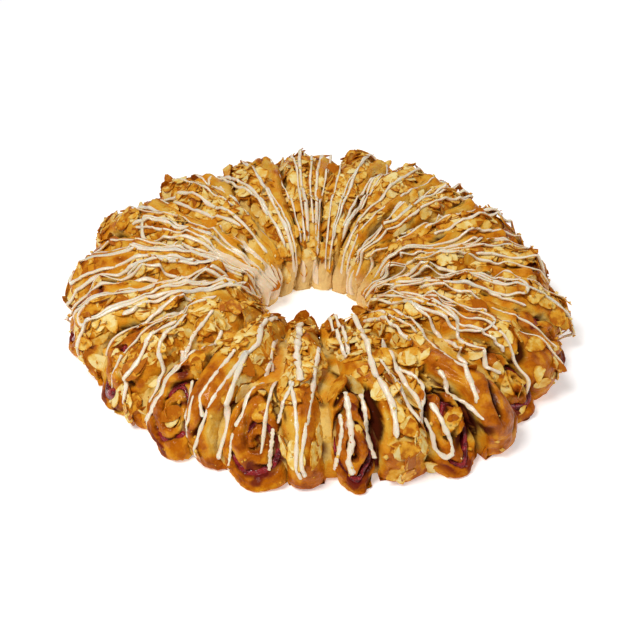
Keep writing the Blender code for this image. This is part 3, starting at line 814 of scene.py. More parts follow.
# %% The gaps as maps
def stamped(places, cells):
    """A map that is 1 along a line of places in degrees and 0 beyond some cells of it, with soft sides.
    Towards its ends the line sinks, as a power of a half sine."""
    corners = np.radians(np.array(places, float))
    marks = np.linspace(0, len(corners) - 1, STAMP_STEPS)
    azimuth, angle = (np.interp(marks, np.arange(len(corners)), side) for side in corners.T)
    column, row = map_place(azimuth, angle)
    cell = (np.rint(column).astype(int) % MAP_COLUMNS, np.rint(row).astype(int))
    level = np.sin(np.pi * np.linspace(STAMP_END, 1 - STAMP_END, STAMP_STEPS)) ** STAMP_ROUNDNESS
    line = np.zeros((MAP_COLUMNS, MAP_ROWS))
    np.maximum.at(line, cell, level)
    return blurred(spread(line, cells, np.maximum), 1)


def gap_maps():
    """Maps of how deep the gaps are and how much jam lies in them. A gap is deepest in its middle."""
    depth = np.zeros((MAP_COLUMNS, MAP_ROWS))
    jam = np.zeros((MAP_COLUMNS, MAP_ROWS))
    for deepest, cells, stain, places in GAPS:
        line = stamped(places, cells)
        depth = np.maximum(depth, deepest * MM * line)
        jam = np.maximum(jam, stain * line)
    return depth, jam


def torn(grid, depths):
    """Points cut down to the depth of the gap they lie in, less so near the floor."""
    azimuth, angle, distance = to_spine(grid)
    cut = read_map(depths, azimuth, angle) * smooth_step(*GAP_RISE, grid[..., 2])
    floor = read_map(dough_map, azimuth, angle) - cut
    return from_spine(azimuth, angle, np.where(cut > LEAST_CUT, np.minimum(distance, floor), distance))


gap_map, gap_jam_map = gap_maps()
slab_grids = torn(slab_grids, gap_map)
coil_grids = torn(coil_grids, gap_map)
dough_map = map_of_dough()
near_gap_map = spread(gap_map, GAP_CLEAR_CELLS, np.maximum)
print("torn gaps", len(GAPS))

# %% [markdown]
# Heat reaches what stands out, so ridges bake brown and glossy, while the flanks in the crevices stay
# pale. The difference between the map and its own blurred copy says how far a point stands out.

# %% How far the dough stands out
BROAD_CELLS = 14
NEAR_CELLS = 4
FRONT_FADE = (30 * DEGREE, 60 * DEGREE)
COIL_END_RADII = (112 * MM, 124 * MM)

broad_map = blurred(dough_map, BROAD_CELLS)
groove_map = dough_map - blurred(dough_map, NEAR_CELLS)
print_depths("groove depths in mm", -groove_map)


def turn_from(azimuth, middle=0.0):
    """The turn from a middle to an azimuth, between minus and plus half a turn."""
    return (azimuth - middle + np.pi) % TURN - np.pi


def in_front(azimuth):
    """1 for the slices that face the camera, and 0 from 60 degrees on."""
    return 1 - smooth_step(*FRONT_FADE, np.abs(turn_from(azimuth)))


def near_coil(points, numbers, reach):
    """1 beside the cut ends of some coils, and 0 beyond a reach round the ring from their middles."""
    azimuth, angle, distance = to_spine(points)
    radius = CREST_RADIUS + distance * np.cos(angle)
    near = np.zeros(len(points))
    for number in numbers:
        middle = coil_azimuth[number] + coil_sweep[number] * sweep_share(radius)
        aside = np.abs(turn_from(azimuth, middle)) * radius
        near = np.maximum(near, smooth_step(reach, 0.75 * reach, aside))
    return near * smooth_step(*COIL_END_RADII, radius)


def standing_out(points):
    """Distance of points above the blurred dough round them, positive on ridges."""
    azimuth, angle, distance = to_spine(points)
    return distance - read_map(broad_map, azimuth, angle)


# %% [markdown]
# ## Materials
# Every finish is built from nodes that read the piece's own attributes and Object coordinates, so it
# stays with the piece in each view. Small helpers keep the node code short.

# %% Node helpers
GLOW_DEPTH = 2 * MM
GLOW_COLOURS = (1.0, 0.45, 0.2)
NOISE_ROUGHNESS = 0.55


def new_finish(name, roughness, specular=0.5, tint=(1, 1, 1), coat=0.0, coat_roughness=0.1, subsurface=0.0):
    """A Principled material with its constant values set on the shader's own sockets. Light that goes
    in a little way comes out warm, as red reaches deepest."""
    material = bpy.data.materials.new(name)
    material.use_nodes = True
    shader = material.node_tree.nodes["Principled BSDF"]
    for socket, value in (
        ("Roughness", roughness), ("Specular IOR Level", specular), ("Specular Tint", (*tint, 1.0)),
        ("Coat Weight", coat), ("Coat Roughness", coat_roughness), ("Subsurface Weight", subsurface),
        ("Subsurface Scale", GLOW_DEPTH), ("Subsurface Radius", GLOW_COLOURS),
    ):
        shader.inputs[socket].default_value = value
    return material


def node(material, kind, **settings):
    """A new node of a kind, with its settings."""
    made = material.node_tree.nodes.new(kind)
    for name, value in settings.items():
        setattr(made, name, value)
    return made


def link(material, source, target):
    """A wire from an output to an input."""
    material.node_tree.links.new(source, target)


def attribute(material, name):
    """The value of one of the mesh's own attributes."""
    return node(material, "ShaderNodeAttribute", attribute_name=name).outputs["Fac"]


def noise(material, size, detail=3.0, low=0.35, high=0.65):
    """Cloudy noise with features of a given size, stretched so that low and high become 0 and 1."""
    place = node(material, "ShaderNodeTexCoord").outputs["Object"]
    cloud = node(material, "ShaderNodeTexNoise")
    cloud.inputs["Scale"].default_value = 1 / size
    cloud.inputs["Detail"].default_value = detail
    cloud.inputs["Roughness"].default_value = NOISE_ROUGHNESS
    link(material, place, cloud.inputs["Vector"])
    return ranged(material, cloud.outputs["Fac"], low, high)


def ranged(material, value, low, high, to_low=0.0, to_high=1.0):
    """A value moved from one range to another, and kept inside it."""
    step = node(material, "ShaderNodeMapRange", clamp=True)
    link(material, value, step.inputs["Value"])
    for name, number in (("From Min", low), ("From Max", high), ("To Min", to_low), ("To Max", to_high)):
        step.inputs[name].default_value = number
    return step.outputs["Result"]


def combined(material, operation, first, second):
    """Math on a socket and a second value, a socket or a number. The result is kept between 0 and 1."""
    step = node(material, "ShaderNodeMath", operation=operation, use_clamp=True)
    link(material, first, step.inputs[0])
    if isinstance(second, float):
        step.inputs[1].default_value = second
    else:
        link(material, second, step.inputs[1])
    return step.outputs["Value"]


def ramp(material, value, stops):
    """Colours along a value, in linear light: (place, (red, green, blue)), ..."""
    made = node(material, "ShaderNodeValToRGB")
    made.color_ramp.interpolation = "EASE"
    elements = made.color_ramp.elements
    while len(elements) < len(stops):
        elements.new(0.5)
    for element, (place, colour) in zip(elements, stops):
        element.position = place
        element.color = (*colour, 1.0)
    link(material, value, made.inputs["Fac"])
    return made.outputs["Color"]


def mixed(material, share, first, second):
    """A colour from a socket, blended by a share with a second colour of three numbers."""
    step = node(material, "ShaderNodeMix", data_type="RGBA")
    link(material, share, step.inputs["Factor"])
    from_socket, from_numbers = (socket for socket in step.inputs if socket.type == "RGBA")
    link(material, first, from_socket)
    from_numbers.default_value = (*second, 1.0)
    return next(socket for socket in step.outputs if socket.type == "RGBA")


def into_shader(material, **sockets):
    """Wires into the shader; an underscore in a name stands for a space."""
    shader = material.node_tree.nodes["Principled BSDF"]
    for name, socket in sockets.items():
        link(material, socket, shader.inputs[name.replace("_", " ")])


def bumped(material, layers):
    """Bump from several (height socket, depth in metres) layers, one after the other."""
    normal = None
    for height, depth in layers:
        step = node(material, "ShaderNodeBump")
        step.inputs["Distance"].default_value = depth
        link(material, height, step.inputs["Height"])
        if normal is not None:
            link(material, normal, step.inputs["Normal"])
        normal = step.outputs["Normal"]
    into_shader(material, Normal=normal)


# %% [markdown]
# The crust is egg-washed: cream where it was shielded, golden on the flanks, chestnut on the ridges, with
# mottling and fine blisters. Three masks on the mesh change its colour: painted shade of the crevices,
# partly caramelized browning there, and what soaked in: jam that ran, and thin melted icing. Two more
# say where the crust is glazed and where it is dull.

# %% Crust
CREAM = (0.80, 0.54, 0.15)
STRAW = (0.72, 0.38, 0.040)
GOLD = (0.68, 0.255, 0.010)
CHESTNUT = (0.48, 0.12, 0.003)
UMBER = (0.30, 0.060, 0.002)
# Painted shade: the deep mask lays this dark colour into crevices, grooves and gaps where shade falls,
# partly also caramelized browning.
CREVICE_SHADE_AND_CARAMEL = (0.050, 0.010, 0.002)
JAM_STAIN = (0.14, 0.010, 0.008)
MELTED_ICING = (0.82, 0.62, 0.30)

crust = new_finish("crust", 0.4, specular=0.5, tint=(1.0, 0.62, 0.22), coat_roughness=0.07)
mottle = noise(crust, 9 * MM)
speckle = noise(crust, 1.6 * MM, detail=2.0)
pores = noise(crust, 0.7 * MM, detail=2.0)
baked = combined(crust, "ADD", attribute(crust, "baked"), ranged(crust, mottle, 0, 1, -0.13, 0.13))
baked = combined(crust, "ADD", baked, ranged(crust, speckle, 0, 1, -0.05, 0.05))
skin = ramp(crust, baked, (
    (0.0, CREAM), (0.25, STRAW), (0.5, GOLD), (0.78, CHESTNUT), (1.0, UMBER),
))
# The deep mask paints shade, partly caramelized browning, into the crevices; jam and melted icing are real
# stains.
for mask, colour in (("deep", CREVICE_SHADE_AND_CARAMEL), ("jam", JAM_STAIN), ("melted", MELTED_ICING)):
    skin = mixed(crust, attribute(crust, mask), skin, colour)
into_shader(crust, Base_Color=skin)
into_shader(crust, Roughness=ranged(crust, baked, 0.1, 0.8, 0.55, 0.28))
into_shader(crust, Coat_Weight=ranged(crust, attribute(crust, "glaze"), 0, 1, 0.0, 0.17))
into_shader(crust, Specular_IOR_Level=ranged(crust, attribute(crust, "dull"), 0, 1, 0.27, 0.01))
bumped(crust, ((mottle, 0.4 * MM), (speckle, 0.12 * MM), (pores, 0.05 * MM)))

# %% [markdown]
# ## Slabs, coils and what is under them
# Now the grids become pieces. The attributes are worked out from the same arrays: baked from how far a
# point stands out, deep, a painted shade, from how far it lies in a crevice, jam near the cut ends,
# melted near the hole.
# Some flanks in front stayed pale. They are lines of places, as the gaps are: half width in cells first.

# %% Flanks that stayed pale
PALE_FLANKS = (
    (5, ((-6.3, 46), (-5.2, 31), (-4.5, 19), (-3.8, 4))),
    (2, ((3.6, 42), (3.2, 28), (3, 13))),
    (4, ((-24, 28), (-23.5, 17), (-22.5, 5))),
    (3, ((-9, 75), (-8, 60), (-7.5, 47))),
    (2, ((16, 40), (16, 28), (15.5, 16))),
)
pale_map = np.max([stamped(places, cells) for cells, places in PALE_FLANKS], axis=0)

# %% Attributes of the dough
BAKED_RIDGES = (-4.0 * MM, 3.5 * MM)
BAKED_CLOUDS = 1.3 * MM
BAKED_GAIN = 0.56
LEAST_BAKED = 0.02
MOST_BAKED = 0.88
PATCH_BAKING = 0.12
BROWNEST_AZIMUTH = 35 * DEGREE
BROWNING_CHANGE = 0.32
HOLE_WALL = (135 * DEGREE, 178 * DEGREE)
HOLE_PALENESS = 0.4
DEEP_HOLLOWS = (3.5 * MM, 11 * MM)
GROOVE_DEPTHS = (0.5 * MM, 1.9 * MM)
GROOVE_HOLLOWS = (1 * MM, 3.5 * MM)
GROOVE_SHADE = 0.92
GAP_DEPTHS = (1 * MM, 3.5 * MM)
COIL_JAM_HOLLOWS = (2.2 * MM, 4.2 * MM)
PALE_BAKING = 0.75
PALE_CLEARING = 0.8
DULL_HEIGHT = 42 * MM
LEAST_MELT_AZIMUTH = 20 * DEGREE
MELT_ANGLES = (156 * DEGREE, 182 * DEGREE)
MELT_LEVELS = (0.35, 0.8)
MELT_STRENGTH = 0.65
JAMMED_COILS = (0, 16)
JAMMED_REACH = 18.5 * MM
CLUMP_LENGTH = 26 * MM
PATCH_LENGTH = 11 * MM


def dough_fields(points, seed, jam, gloss, glaze):
    """Masks of the dough: baked, deep, jam, melted, glaze and dull, each 0 to 1. In front, jam has run
    into the crevices too. Gaps and pale flanks are read from their maps. What lies deep or low is dull,
    as no light is mirrored there."""
    ridge = standing_out(points)
    azimuth, angle, _ = to_spine(points)
    clouds = waves(points, CLUMP_LENGTH, seed)
    patches = waves(points, PATCH_LENGTH, seed + 30)
    baked = LEAST_BAKED + BAKED_GAIN * smooth_step(*BAKED_RIDGES, ridge + BAKED_CLOUDS * clouds)
    baked = baked * (1 - BROWNING_CHANGE * away_from(azimuth, BROWNEST_AZIMUTH))
    baked = np.clip(baked + PATCH_BAKING * patches + gloss, 0, MOST_BAKED)
    inside_hole = smooth_step(*HOLE_WALL, angle)
    baked = baked * (1 - HOLE_PALENESS * inside_hole)
    # deep is painted shade: the colour darkens in broad hollows, fine grooves and torn gaps, where shade
    # falls, partly also for caramelized browning.
    deep = smooth_step(*DEEP_HOLLOWS, -ridge) * (1 - inside_hole)
    groove = smooth_step(*GROOVE_DEPTHS, -read_map(groove_map, azimuth, angle))
    groove = groove * smooth_step(*GROOVE_HOLLOWS, -ridge) * (1 - 0.6 * inside_hole)
    deep = np.maximum(deep, GROOVE_SHADE * groove * (0.3 + 0.7 * smooth_step(-0.7, 0.3, clouds)))
    jam = np.maximum(jam, 0.6 * smooth_step(0.3, 0.9, deep) * in_front(azimuth))
    in_gap = smooth_step(*GAP_DEPTHS, read_map(gap_map, azimuth, angle))
    deep = np.maximum(deep, in_gap)
    beside_coil = near_coil(points, JAMMED_COILS, JAMMED_REACH)
    jam = np.maximum(jam, beside_coil * smooth_step(*COIL_JAM_HOLLOWS, -ridge))
    pale = read_map(pale_map, azimuth, angle) * (1 - in_gap)
    baked = baked * (1 - PALE_BAKING * pale)
    deep = deep * (1 - PALE_CLEARING * pale)
    jam = np.maximum(jam * (1 - 0.8 * in_gap) * (1 - pale), read_map(gap_jam_map, azimuth, angle))
    dull = np.maximum(smooth_step(0, 0.7, deep), 1 - smooth_step(0, DULL_HEIGHT, points[:, 2]))
    low_wall = smooth_step(*MELT_ANGLES, angle)
    low_wall = low_wall * (0.6 + 0.4 * away_from(azimuth, LEAST_MELT_AZIMUTH))
    melted = MELT_STRENGTH * smooth_step(*MELT_LEVELS, low_wall + 0.14 * clouds)
    glaze = glaze * (1 - 0.8 * dull)
    return {"baked": baked, "deep": deep, "jam": jam, "melted": melted, "glaze": glaze, "dull": dull}


# %% Slab pieces
BARE_SLABS = (0, 2, 17)
BARE_TOPS = np.radians((60, 100, 88))
GLOSSY_RADII = (100 * MM, 150 * MM)
FOOT_GLOSS = 0.20
BARE_GLOSS = 0.06
SLAB_GLAZE = 0.5
BARE_GLAZE = 0.9
STREAK_GLOSS = 0.06
STREAK_LENGTH = 3.2 * MM
STREAK_STRETCH = 0.12
STREAK_SEED = 61
SLAB_JAM = 0.8
SLAB_JAM_RADII = (122 * MM, 150 * MM)
SLAB_JAM_HOLLOWS = (6 * MM, 15 * MM)
SLAB_JAM_LENGTH = 14 * MM
SLAB_JAM_SEED = 60
SLAB_MASK_SEED = 50


def slab_piece(number, grid):
    """One slab as a piece: glossy and brown towards its foot, with streaks drawn out along the slice,
    and stained by jam low on its sides there."""
    quads, triangles = tube_faces(*grid.shape[:2])
    points = tube_points(grid)
    out = np.hypot(points[:, 0] - RING_MIDDLE_X, points[:, 1] - RING_MIDDLE_Y)
    round_ring = CREST_RADIUS * np.arctan2(points[:, 0] - RING_MIDDLE_X, RING_MIDDLE_Y - points[:, 1])
    foot = smooth_step(*GLOSSY_RADII, out)
    bare = number in BARE_SLABS
    unrolled = np.stack([out * STREAK_STRETCH, round_ring, points[:, 2] * STREAK_STRETCH], -1)
    streaks = waves(unrolled, STREAK_LENGTH, STREAK_SEED)
    gloss = FOOT_GLOSS * foot + BARE_GLOSS * bare + STREAK_GLOSS * streaks
    glaze = foot * (BARE_GLAZE if bare else SLAB_GLAZE)
    low_side = smooth_step(*SLAB_JAM_HOLLOWS, -standing_out(points))
    clouds = waves(points, SLAB_JAM_LENGTH, SLAB_JAM_SEED + number)
    jam = SLAB_JAM * low_side * smooth_step(*SLAB_JAM_RADII, out) * smooth_step(0.1, 0.6, clouds)
    fields = dough_fields(points, SLAB_MASK_SEED, jam, gloss, glaze)
    piece = mesh_piece(f"slab_{number + 1:02d}", points, quads, triangles, fields, crust)
    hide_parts("dough")


for number, grid in enumerate(slab_grids):
    slab_piece(number, grid)
print("slab triangles each", 2 * slab_grids.shape[1] * slab_grids.shape[2])

# %% Coil pieces
FACE_START = COIL_STATIONS - 1
FACE_FADE = (1.0, 0.8)
JAM_GROOVE = (0.04, 0.2)
JAM_RUN_HEIGHTS = (4 * MM, 24 * MM)
JAM_RUN_LEVELS = (0.85, 1.15)
JAM_RUN_LENGTH = 12 * MM
JAM_RUN_SEED = 80
FACE_GLOSS = 0.34
FACE_GLOSS_CLOUDS = 0.1
FACE_MIDDLE_GLOSS = 0.2
COIL_MASK_SEED = 51


def coil_piece(number, grid):
    """One coil as a piece: its cut end is browner, with jam in the groove and where it ran low down.
    The two values put at the end of each mask belong to the middles of the first and last section."""
    quads, triangles = tube_faces(*grid.shape[:2])
    points = tube_points(grid)
    near_groove = np.ones(grid.shape[:2])
    near_groove[FACE_START:] = from_groove[number]
    on_face = np.zeros(grid.shape[:2])
    on_face[FACE_START:] = smooth_step(*FACE_FADE, face_share[0])
    in_groove = (1 - smooth_step(*JAM_GROOVE, near_groove)) * on_face
    clouds = waves(grid, JAM_RUN_LENGTH, JAM_RUN_SEED + number)
    low = 1 - smooth_step(*JAM_RUN_HEIGHTS, grid[..., 2])
    ran = on_face * smooth_step(*JAM_RUN_LEVELS, low + 0.45 * clouds)
    jam = np.clip(in_groove * (0.5 + 0.5 * low) + 0.85 * ran, 0, 1)
    jam = np.concatenate([jam.ravel(), [0, jam[-1].mean()]])
    gloss = on_face * (FACE_GLOSS + FACE_GLOSS_CLOUDS * clouds)
    gloss = np.concatenate([gloss.ravel(), [0, FACE_MIDDLE_GLOSS]])
    glaze = np.concatenate([on_face.ravel(), [0, 1]])
    fields = dough_fields(points, COIL_MASK_SEED, jam, gloss, glaze)
    piece = mesh_piece(f"coil_{number + 1:02d}", points, quads, triangles, fields, crust)
    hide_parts("dough")


for number, grid in enumerate(coil_grids):
    coil_piece(number, grid)
print("coil triangles each", 2 * coil_grids.shape[1] * coil_grids.shape[2])

# %% [markdown]
# Under the slices the dough is one ring. It shows only deep in the crevices and from below, so it is a
# plain turned ring, which reaches down to the floor. Its underside is evenly golden brown.

# %% Core ring
CORE_DROP = 15 * MM
CORE_INNER_REACH = 0.9
CORE_OUTER_REACH = 0.78
CORE_COLUMNS = 240
CORE_POINTS = 60
CORE_FLOOR_POINTS = 20
CORE_LEAST_HEIGHT = 0.4
CORE_PALENESS = -0.1
CORE_MASK_SEED = 52
UNDERSIDE_HEIGHT = 1 * MM
UNDERSIDE_BAKED = 0.55


def core_grid():
    """The outline drawn in towards the crest and lowered, turned round the ring, closed underneath."""
    radius, height, _ = even_outline(CORE_POINTS)
    reach = np.where(radius > CREST_RADIUS, CORE_OUTER_REACH, CORE_INNER_REACH)
    radius = CREST_RADIUS + (radius - CREST_RADIUS) * reach
    height = np.maximum(height - CORE_DROP, CORE_LEAST_HEIGHT * height)
    floor = np.linspace(radius[-1], radius[0], CORE_FLOOR_POINTS)[1:-1]
    radius = np.concatenate([radius, floor])
    height = np.concatenate([height, np.zeros(len(floor))])
    azimuth = np.linspace(0, TURN, CORE_COLUMNS, endpoint=False)[:, None]
    return on_ring(radius, azimuth, 0.0, height)


def ring_faces(rows, columns):
    """Quads of a grid that is closed along both sides."""
    row = np.arange(rows)[:, None]
    column = np.arange(columns)
    here = row * columns + column
    beside = row * columns + (column + 1) % columns
    above = (row + 1) % rows * columns + column
    across = (row + 1) % rows * columns + (column + 1) % columns
    return np.stack([here, beside, across, above], -1).reshape(-1, 4)


core = core_grid()
core_points = core.reshape(-1, 3)
no_mask = np.zeros(len(core_points))
core_fields = dough_fields(core_points, CORE_MASK_SEED, no_mask, CORE_PALENESS, no_mask)
underneath = core_points[:, 2] < UNDERSIDE_HEIGHT
core_fields["baked"] = np.where(underneath, UNDERSIDE_BAKED, core_fields["baked"])
core_fields["deep"] = np.where(underneath, 0.0, core_fields["deep"])
core_quads = ring_faces(*core.shape[:2])
core_piece = mesh_piece("core_ring", core_points, core_quads, [], core_fields, crust)
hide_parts("dough")

# %% [markdown]
# ## The jam
# Raspberry jam fills the roll. At each cut end it shows as a dark wet ribbon in the spiral's groove, and
# it runs back into the coil, as the frame's ribbon does. Its front edge is a rounded bead that swells
# and thins, because jam oozes while it bakes.

# %% Jam finish
JAM_DARK = (0.10, 0.006, 0.008)
JAM_RED = (0.33, 0.020, 0.022)

jam_finish = new_finish("jam", 0.2, specular=0.3, coat=0.35, coat_roughness=0.05, subsurface=0.15)
jam_clouds = noise(jam_finish, 5 * MM)
seeds = noise(jam_finish, 1.3 * MM, detail=1.0, low=0.55, high=0.7)
into_shader(jam_finish, Base_Color=ramp(jam_finish, jam_clouds, ((0.1, JAM_DARK), (0.9, JAM_RED))))
bumped(jam_finish, ((jam_clouds, 0.8 * MM), (seeds, 0.3 * MM)))

# %% Jam ribbons
JAM_THICKNESS = 2.4 * MM
JAM_STEPS = 90
JAM_BEAD = 11
JAM_RECESS = 0.7 * MM
JAM_BACK_TOP_RADIUS = 98 * MM
JAM_BACK_FOOT_RADIUS = 110 * MM
JAM_FACE_SIZE = 24 * MM
JAM_FADE = 0.06
SWELL_RATE = 6
SWELL_LENGTH = 1.6
SWELL_SEED = 90


def jam_grids():
    """Ribbon along the spiral. Its section is a bead at the front, swollen by soft noise, and a straight
    strip back to a section deep in the coil."""
    step = np.linspace(0, 1, JAM_STEPS)[:, None]
    angle = JAM_START_ANGLE + (JAM_END_ANGLE - JAM_START_ANGLE) * step
    share = JAM_START_SHARE + (JAM_END_SHARE - JAM_START_SHARE) * step
    bead = np.linspace(-np.pi / 2, np.pi / 2, JAM_BEAD)
    swell = np.stack([
        waves(np.concatenate([SWELL_RATE * step, 0 * step, 0 * step + number], 1), SWELL_LENGTH, SWELL_SEED)
        for number in range(SLICE_COUNT)
    ])[..., None]
    ends = ends_faded(step, JAM_FADE)
    below = np.maximum(-np.sin(angle), 0)
    half = 0.5 * JAM_THICKNESS / JAM_FACE_SIZE * (1 + 0.3 * swell + 1.0 * below) * (0.4 + 0.6 * ends)
    follow = share - WOBBLE_SHARE * face_wobble(share, angle)
    front_share = follow + half * np.sin(bead)
    oozed = (-0.6 + 1.1 * swell + 2.6 * below) * MM * np.cos(bead) * ends
    front = coil_points(
        face_top, face_foot,
        front_share * np.cos(angle), front_share * np.sin(angle), face_dome(share) - JAM_RECESS + oozed,
    )
    rear_share = follow + half * np.array([1.0, 0.0, -1.0])
    rear = coil_points(
        JAM_BACK_TOP_RADIUS, JAM_BACK_FOOT_RADIUS,
        rear_share * np.cos(angle), rear_share * np.sin(angle), 0 * rear_share,
    )
    return np.concatenate([front, rear], 2)


for number, grid in enumerate(jam_grids()):
    quads, triangles = tube_faces(*grid.shape[:2])
    piece = mesh_piece(
        f"jam_ribbon_{number + 1:02d}", tube_points(grid), quads, triangles, {}, jam_finish,
    )
    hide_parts(f"jam_{number + 1:02d}")
print("jam ribbons", SLICE_COUNT)

# %% [markdown]
# ## Almond flakes
# Flaked almonds are thin slices of a nut: ovals with one blunt and one pointed end, about 15 mm long and
# half a millimetre thick, ivory inside and toasted at the rim. Broken ones are shards with straight
# edges. Each is a small polar grid. They fall in rounds, and every round lands on what the rounds before
# it left, because the map is raised by each round. The last round is a few flakes placed one by one.

# %% Where flakes land
FLAKE_ROUNDS = (560, 440, 360)
SHARD_ROUNDS = (240, 220, 200)
FLAKE_ROUND_SEED = 700
HALF_BARE_SLABS = (3, 4, 14)
BARE_COVER = 0.08
HALF_BARE_COVER = 0.6
FACE_COVER = 0.35
FRONT_FACE_COVER = 0.02
CREVICE_CELLS = 3
SLAB_EDGE = (0.3, 0.52)
OUTSIDE_ANGLES = (70 * DEGREE, 105 * DEGREE)
BARE_FADE = 20 * DEGREE
CUT_END_ANGLES = (42 * DEGREE, 57 * DEGREE)
FOOT_ANGLES = (-14 * DEGREE, 8 * DEGREE)
HOLE_FOOT_ANGLES = (168 * DEGREE, 180 * DEGREE)
CREVICE_DEPTHS = (1.6 * MM, 3.6 * MM)
CREVICE_ANGLES = (5 * DEGREE, 40 * DEGREE)
GAP_CLEARING = (0.5 * MM, 2 * MM)
CLUSTER_LENGTH = 30 * MM
CLUSTER_SEED = 72
LANDING_ANGLES = (-8 * DEGREE, 178 * DEGREE)
TRIES_EACH = 8

crevice_map = spread(groove_map, CREVICE_CELLS, np.minimum)


def slice_number(azimuth, angle, distance):
    """The slab a place is nearest to, and how far it lies from the slab's middle, in slab widths."""
    radius = CREST_RADIUS + distance * np.cos(angle)
    lean = SLAB_LEAN * (SPINE_HEIGHT + distance * np.sin(angle)) / radius
    share = sweep_share(radius)
    middles = slice_azimuth + slice_sweep * share[:, None] - lean[:, None]
    offset = turn_from(azimuth[:, None], middles)
    nearest = np.abs(offset).argmin(1)
    width = slab_width(radius, crest_width[nearest], foot_width[nearest])
    return nearest, offset[np.arange(len(offset)), nearest] * radius / width


def flake_cover(azimuth, angle, distance):
    """Chance that a flake stays at a place: low on the glossy slabs, the cut ends, the steep foot and
    the foot of the hole's wall, in crevices and gaps, and uneven everywhere."""
    nearest, offset = slice_number(azimuth, angle, distance)
    on_slab = 1 - smooth_step(*SLAB_EDGE, np.abs(offset))
    bare = np.zeros(len(azimuth))
    for slab, top in zip(BARE_SLABS, BARE_TOPS):
        bare = np.maximum(bare, (nearest == slab) * on_slab * smooth_step(top, top - BARE_FADE, angle))
    half_bare = np.isin(nearest, HALF_BARE_SLABS) * on_slab * (1 - smooth_step(*OUTSIDE_ANGLES, angle))
    cover = (1 - bare * (1 - BARE_COVER)) * (1 - half_bare * (1 - HALF_BARE_COVER))
    on_end = (1 - on_slab) * (1 - smooth_step(*CUT_END_ANGLES, angle))
    face_cover = FACE_COVER + (FRONT_FACE_COVER - FACE_COVER) * in_front(azimuth)
    cover = cover * (1 - on_end * (1 - face_cover))
    cover = cover * smooth_step(*FOOT_ANGLES, angle)
    cover = cover * (1 - 0.85 * smooth_step(*HOLE_FOOT_ANGLES, angle))
    crevice = smooth_step(*CREVICE_DEPTHS, -read_map(crevice_map, azimuth, angle))
    cover = cover * (1 - 0.9 * crevice * smooth_step(*CREVICE_ANGLES, angle))
    cover = cover * (1 - smooth_step(*GAP_CLEARING, read_map(near_gap_map, azimuth, angle)))
    clusters = waves(from_spine(azimuth, angle, distance), CLUSTER_LENGTH, CLUSTER_SEED)
    return cover * np.clip(0.8 + 0.4 * clusters, 0.1, 1)


def landing_places(count, seed, cover_of, field):
    """Random azimuths and angles, thinned by the ring's girth and by a cover function."""
    random = np.random.default_rng(seed)
    tries = TRIES_EACH * count
    azimuth = random.uniform(0, TURN, tries)
    angle = random.uniform(*LANDING_ANGLES, tries)
    distance = read_map(field, azimuth, angle)
    girth = (CREST_RADIUS + distance * np.cos(angle)) / OUTER_RADIUS
    keep = random.uniform(0, 1, tries) < girth * cover_of(azimuth, angle, distance)
    return azimuth[keep][:count], angle[keep][:count], random


# %% Axes of a place on the map
SLOPE_STEP = 2.2 * DEGREE


def map_axes(field, azimuth, angle):
    """World point, outward direction and one direction along the surface, from slopes of the map."""
    def point(turn, tip):
        return from_spine(azimuth + turn, angle + tip, read_map(field, azimuth + turn, angle + tip))
    round_slope = point(0.5 * SLOPE_STEP, 0) - point(-0.5 * SLOPE_STEP, 0)
    over_slope = point(0, SLOPE_STEP) - point(0, -SLOPE_STEP)
    outward = unit(np.cross(round_slope, -over_slope))
    away = point(0, 0) - from_spine(azimuth, angle, 0 * angle)
    outward = np.where((outward * away).sum(-1, keepdims=True) < 0, -outward, outward)
    return point(0, 0), outward, unit(over_slope)


# %% Shape of the flakes
FLAKE_SIZE = (15.8 * MM, 10.6 * MM)
SHARD_SIZE = (11 * MM, 7.5 * MM)
FLAKE_THICKNESS = 0.5 * MM
FLAKE_SIDES = 12
SHARD_SIDES = 9
FLAKE_CUTS = (0.35, 0.1)
SHARD_CUTS = (1.0, 0.8)
LEAST_LENGTH = 0.7
LEAST_WIDTH = 0.75
SIZE_CHANGE = 0.45
LEAST_POINT = 0.10
POINT_CHANGE = 0.12
RIM_UNEVENNESS = 0.03
BLUNT_END = 0.22
MOST_BEND = 10.0
MOST_TWIST = 20.0
FLAKE_TILT = 7 * DEGREE
STEEP_SHARE = 0.16
STEEP_TILT = 27 * DEGREE
CONTACT_SHARE = 62
HIGHEST_FLAKE = 60.5 * MM
LOWEST_FLAKE = 0.8 * MM


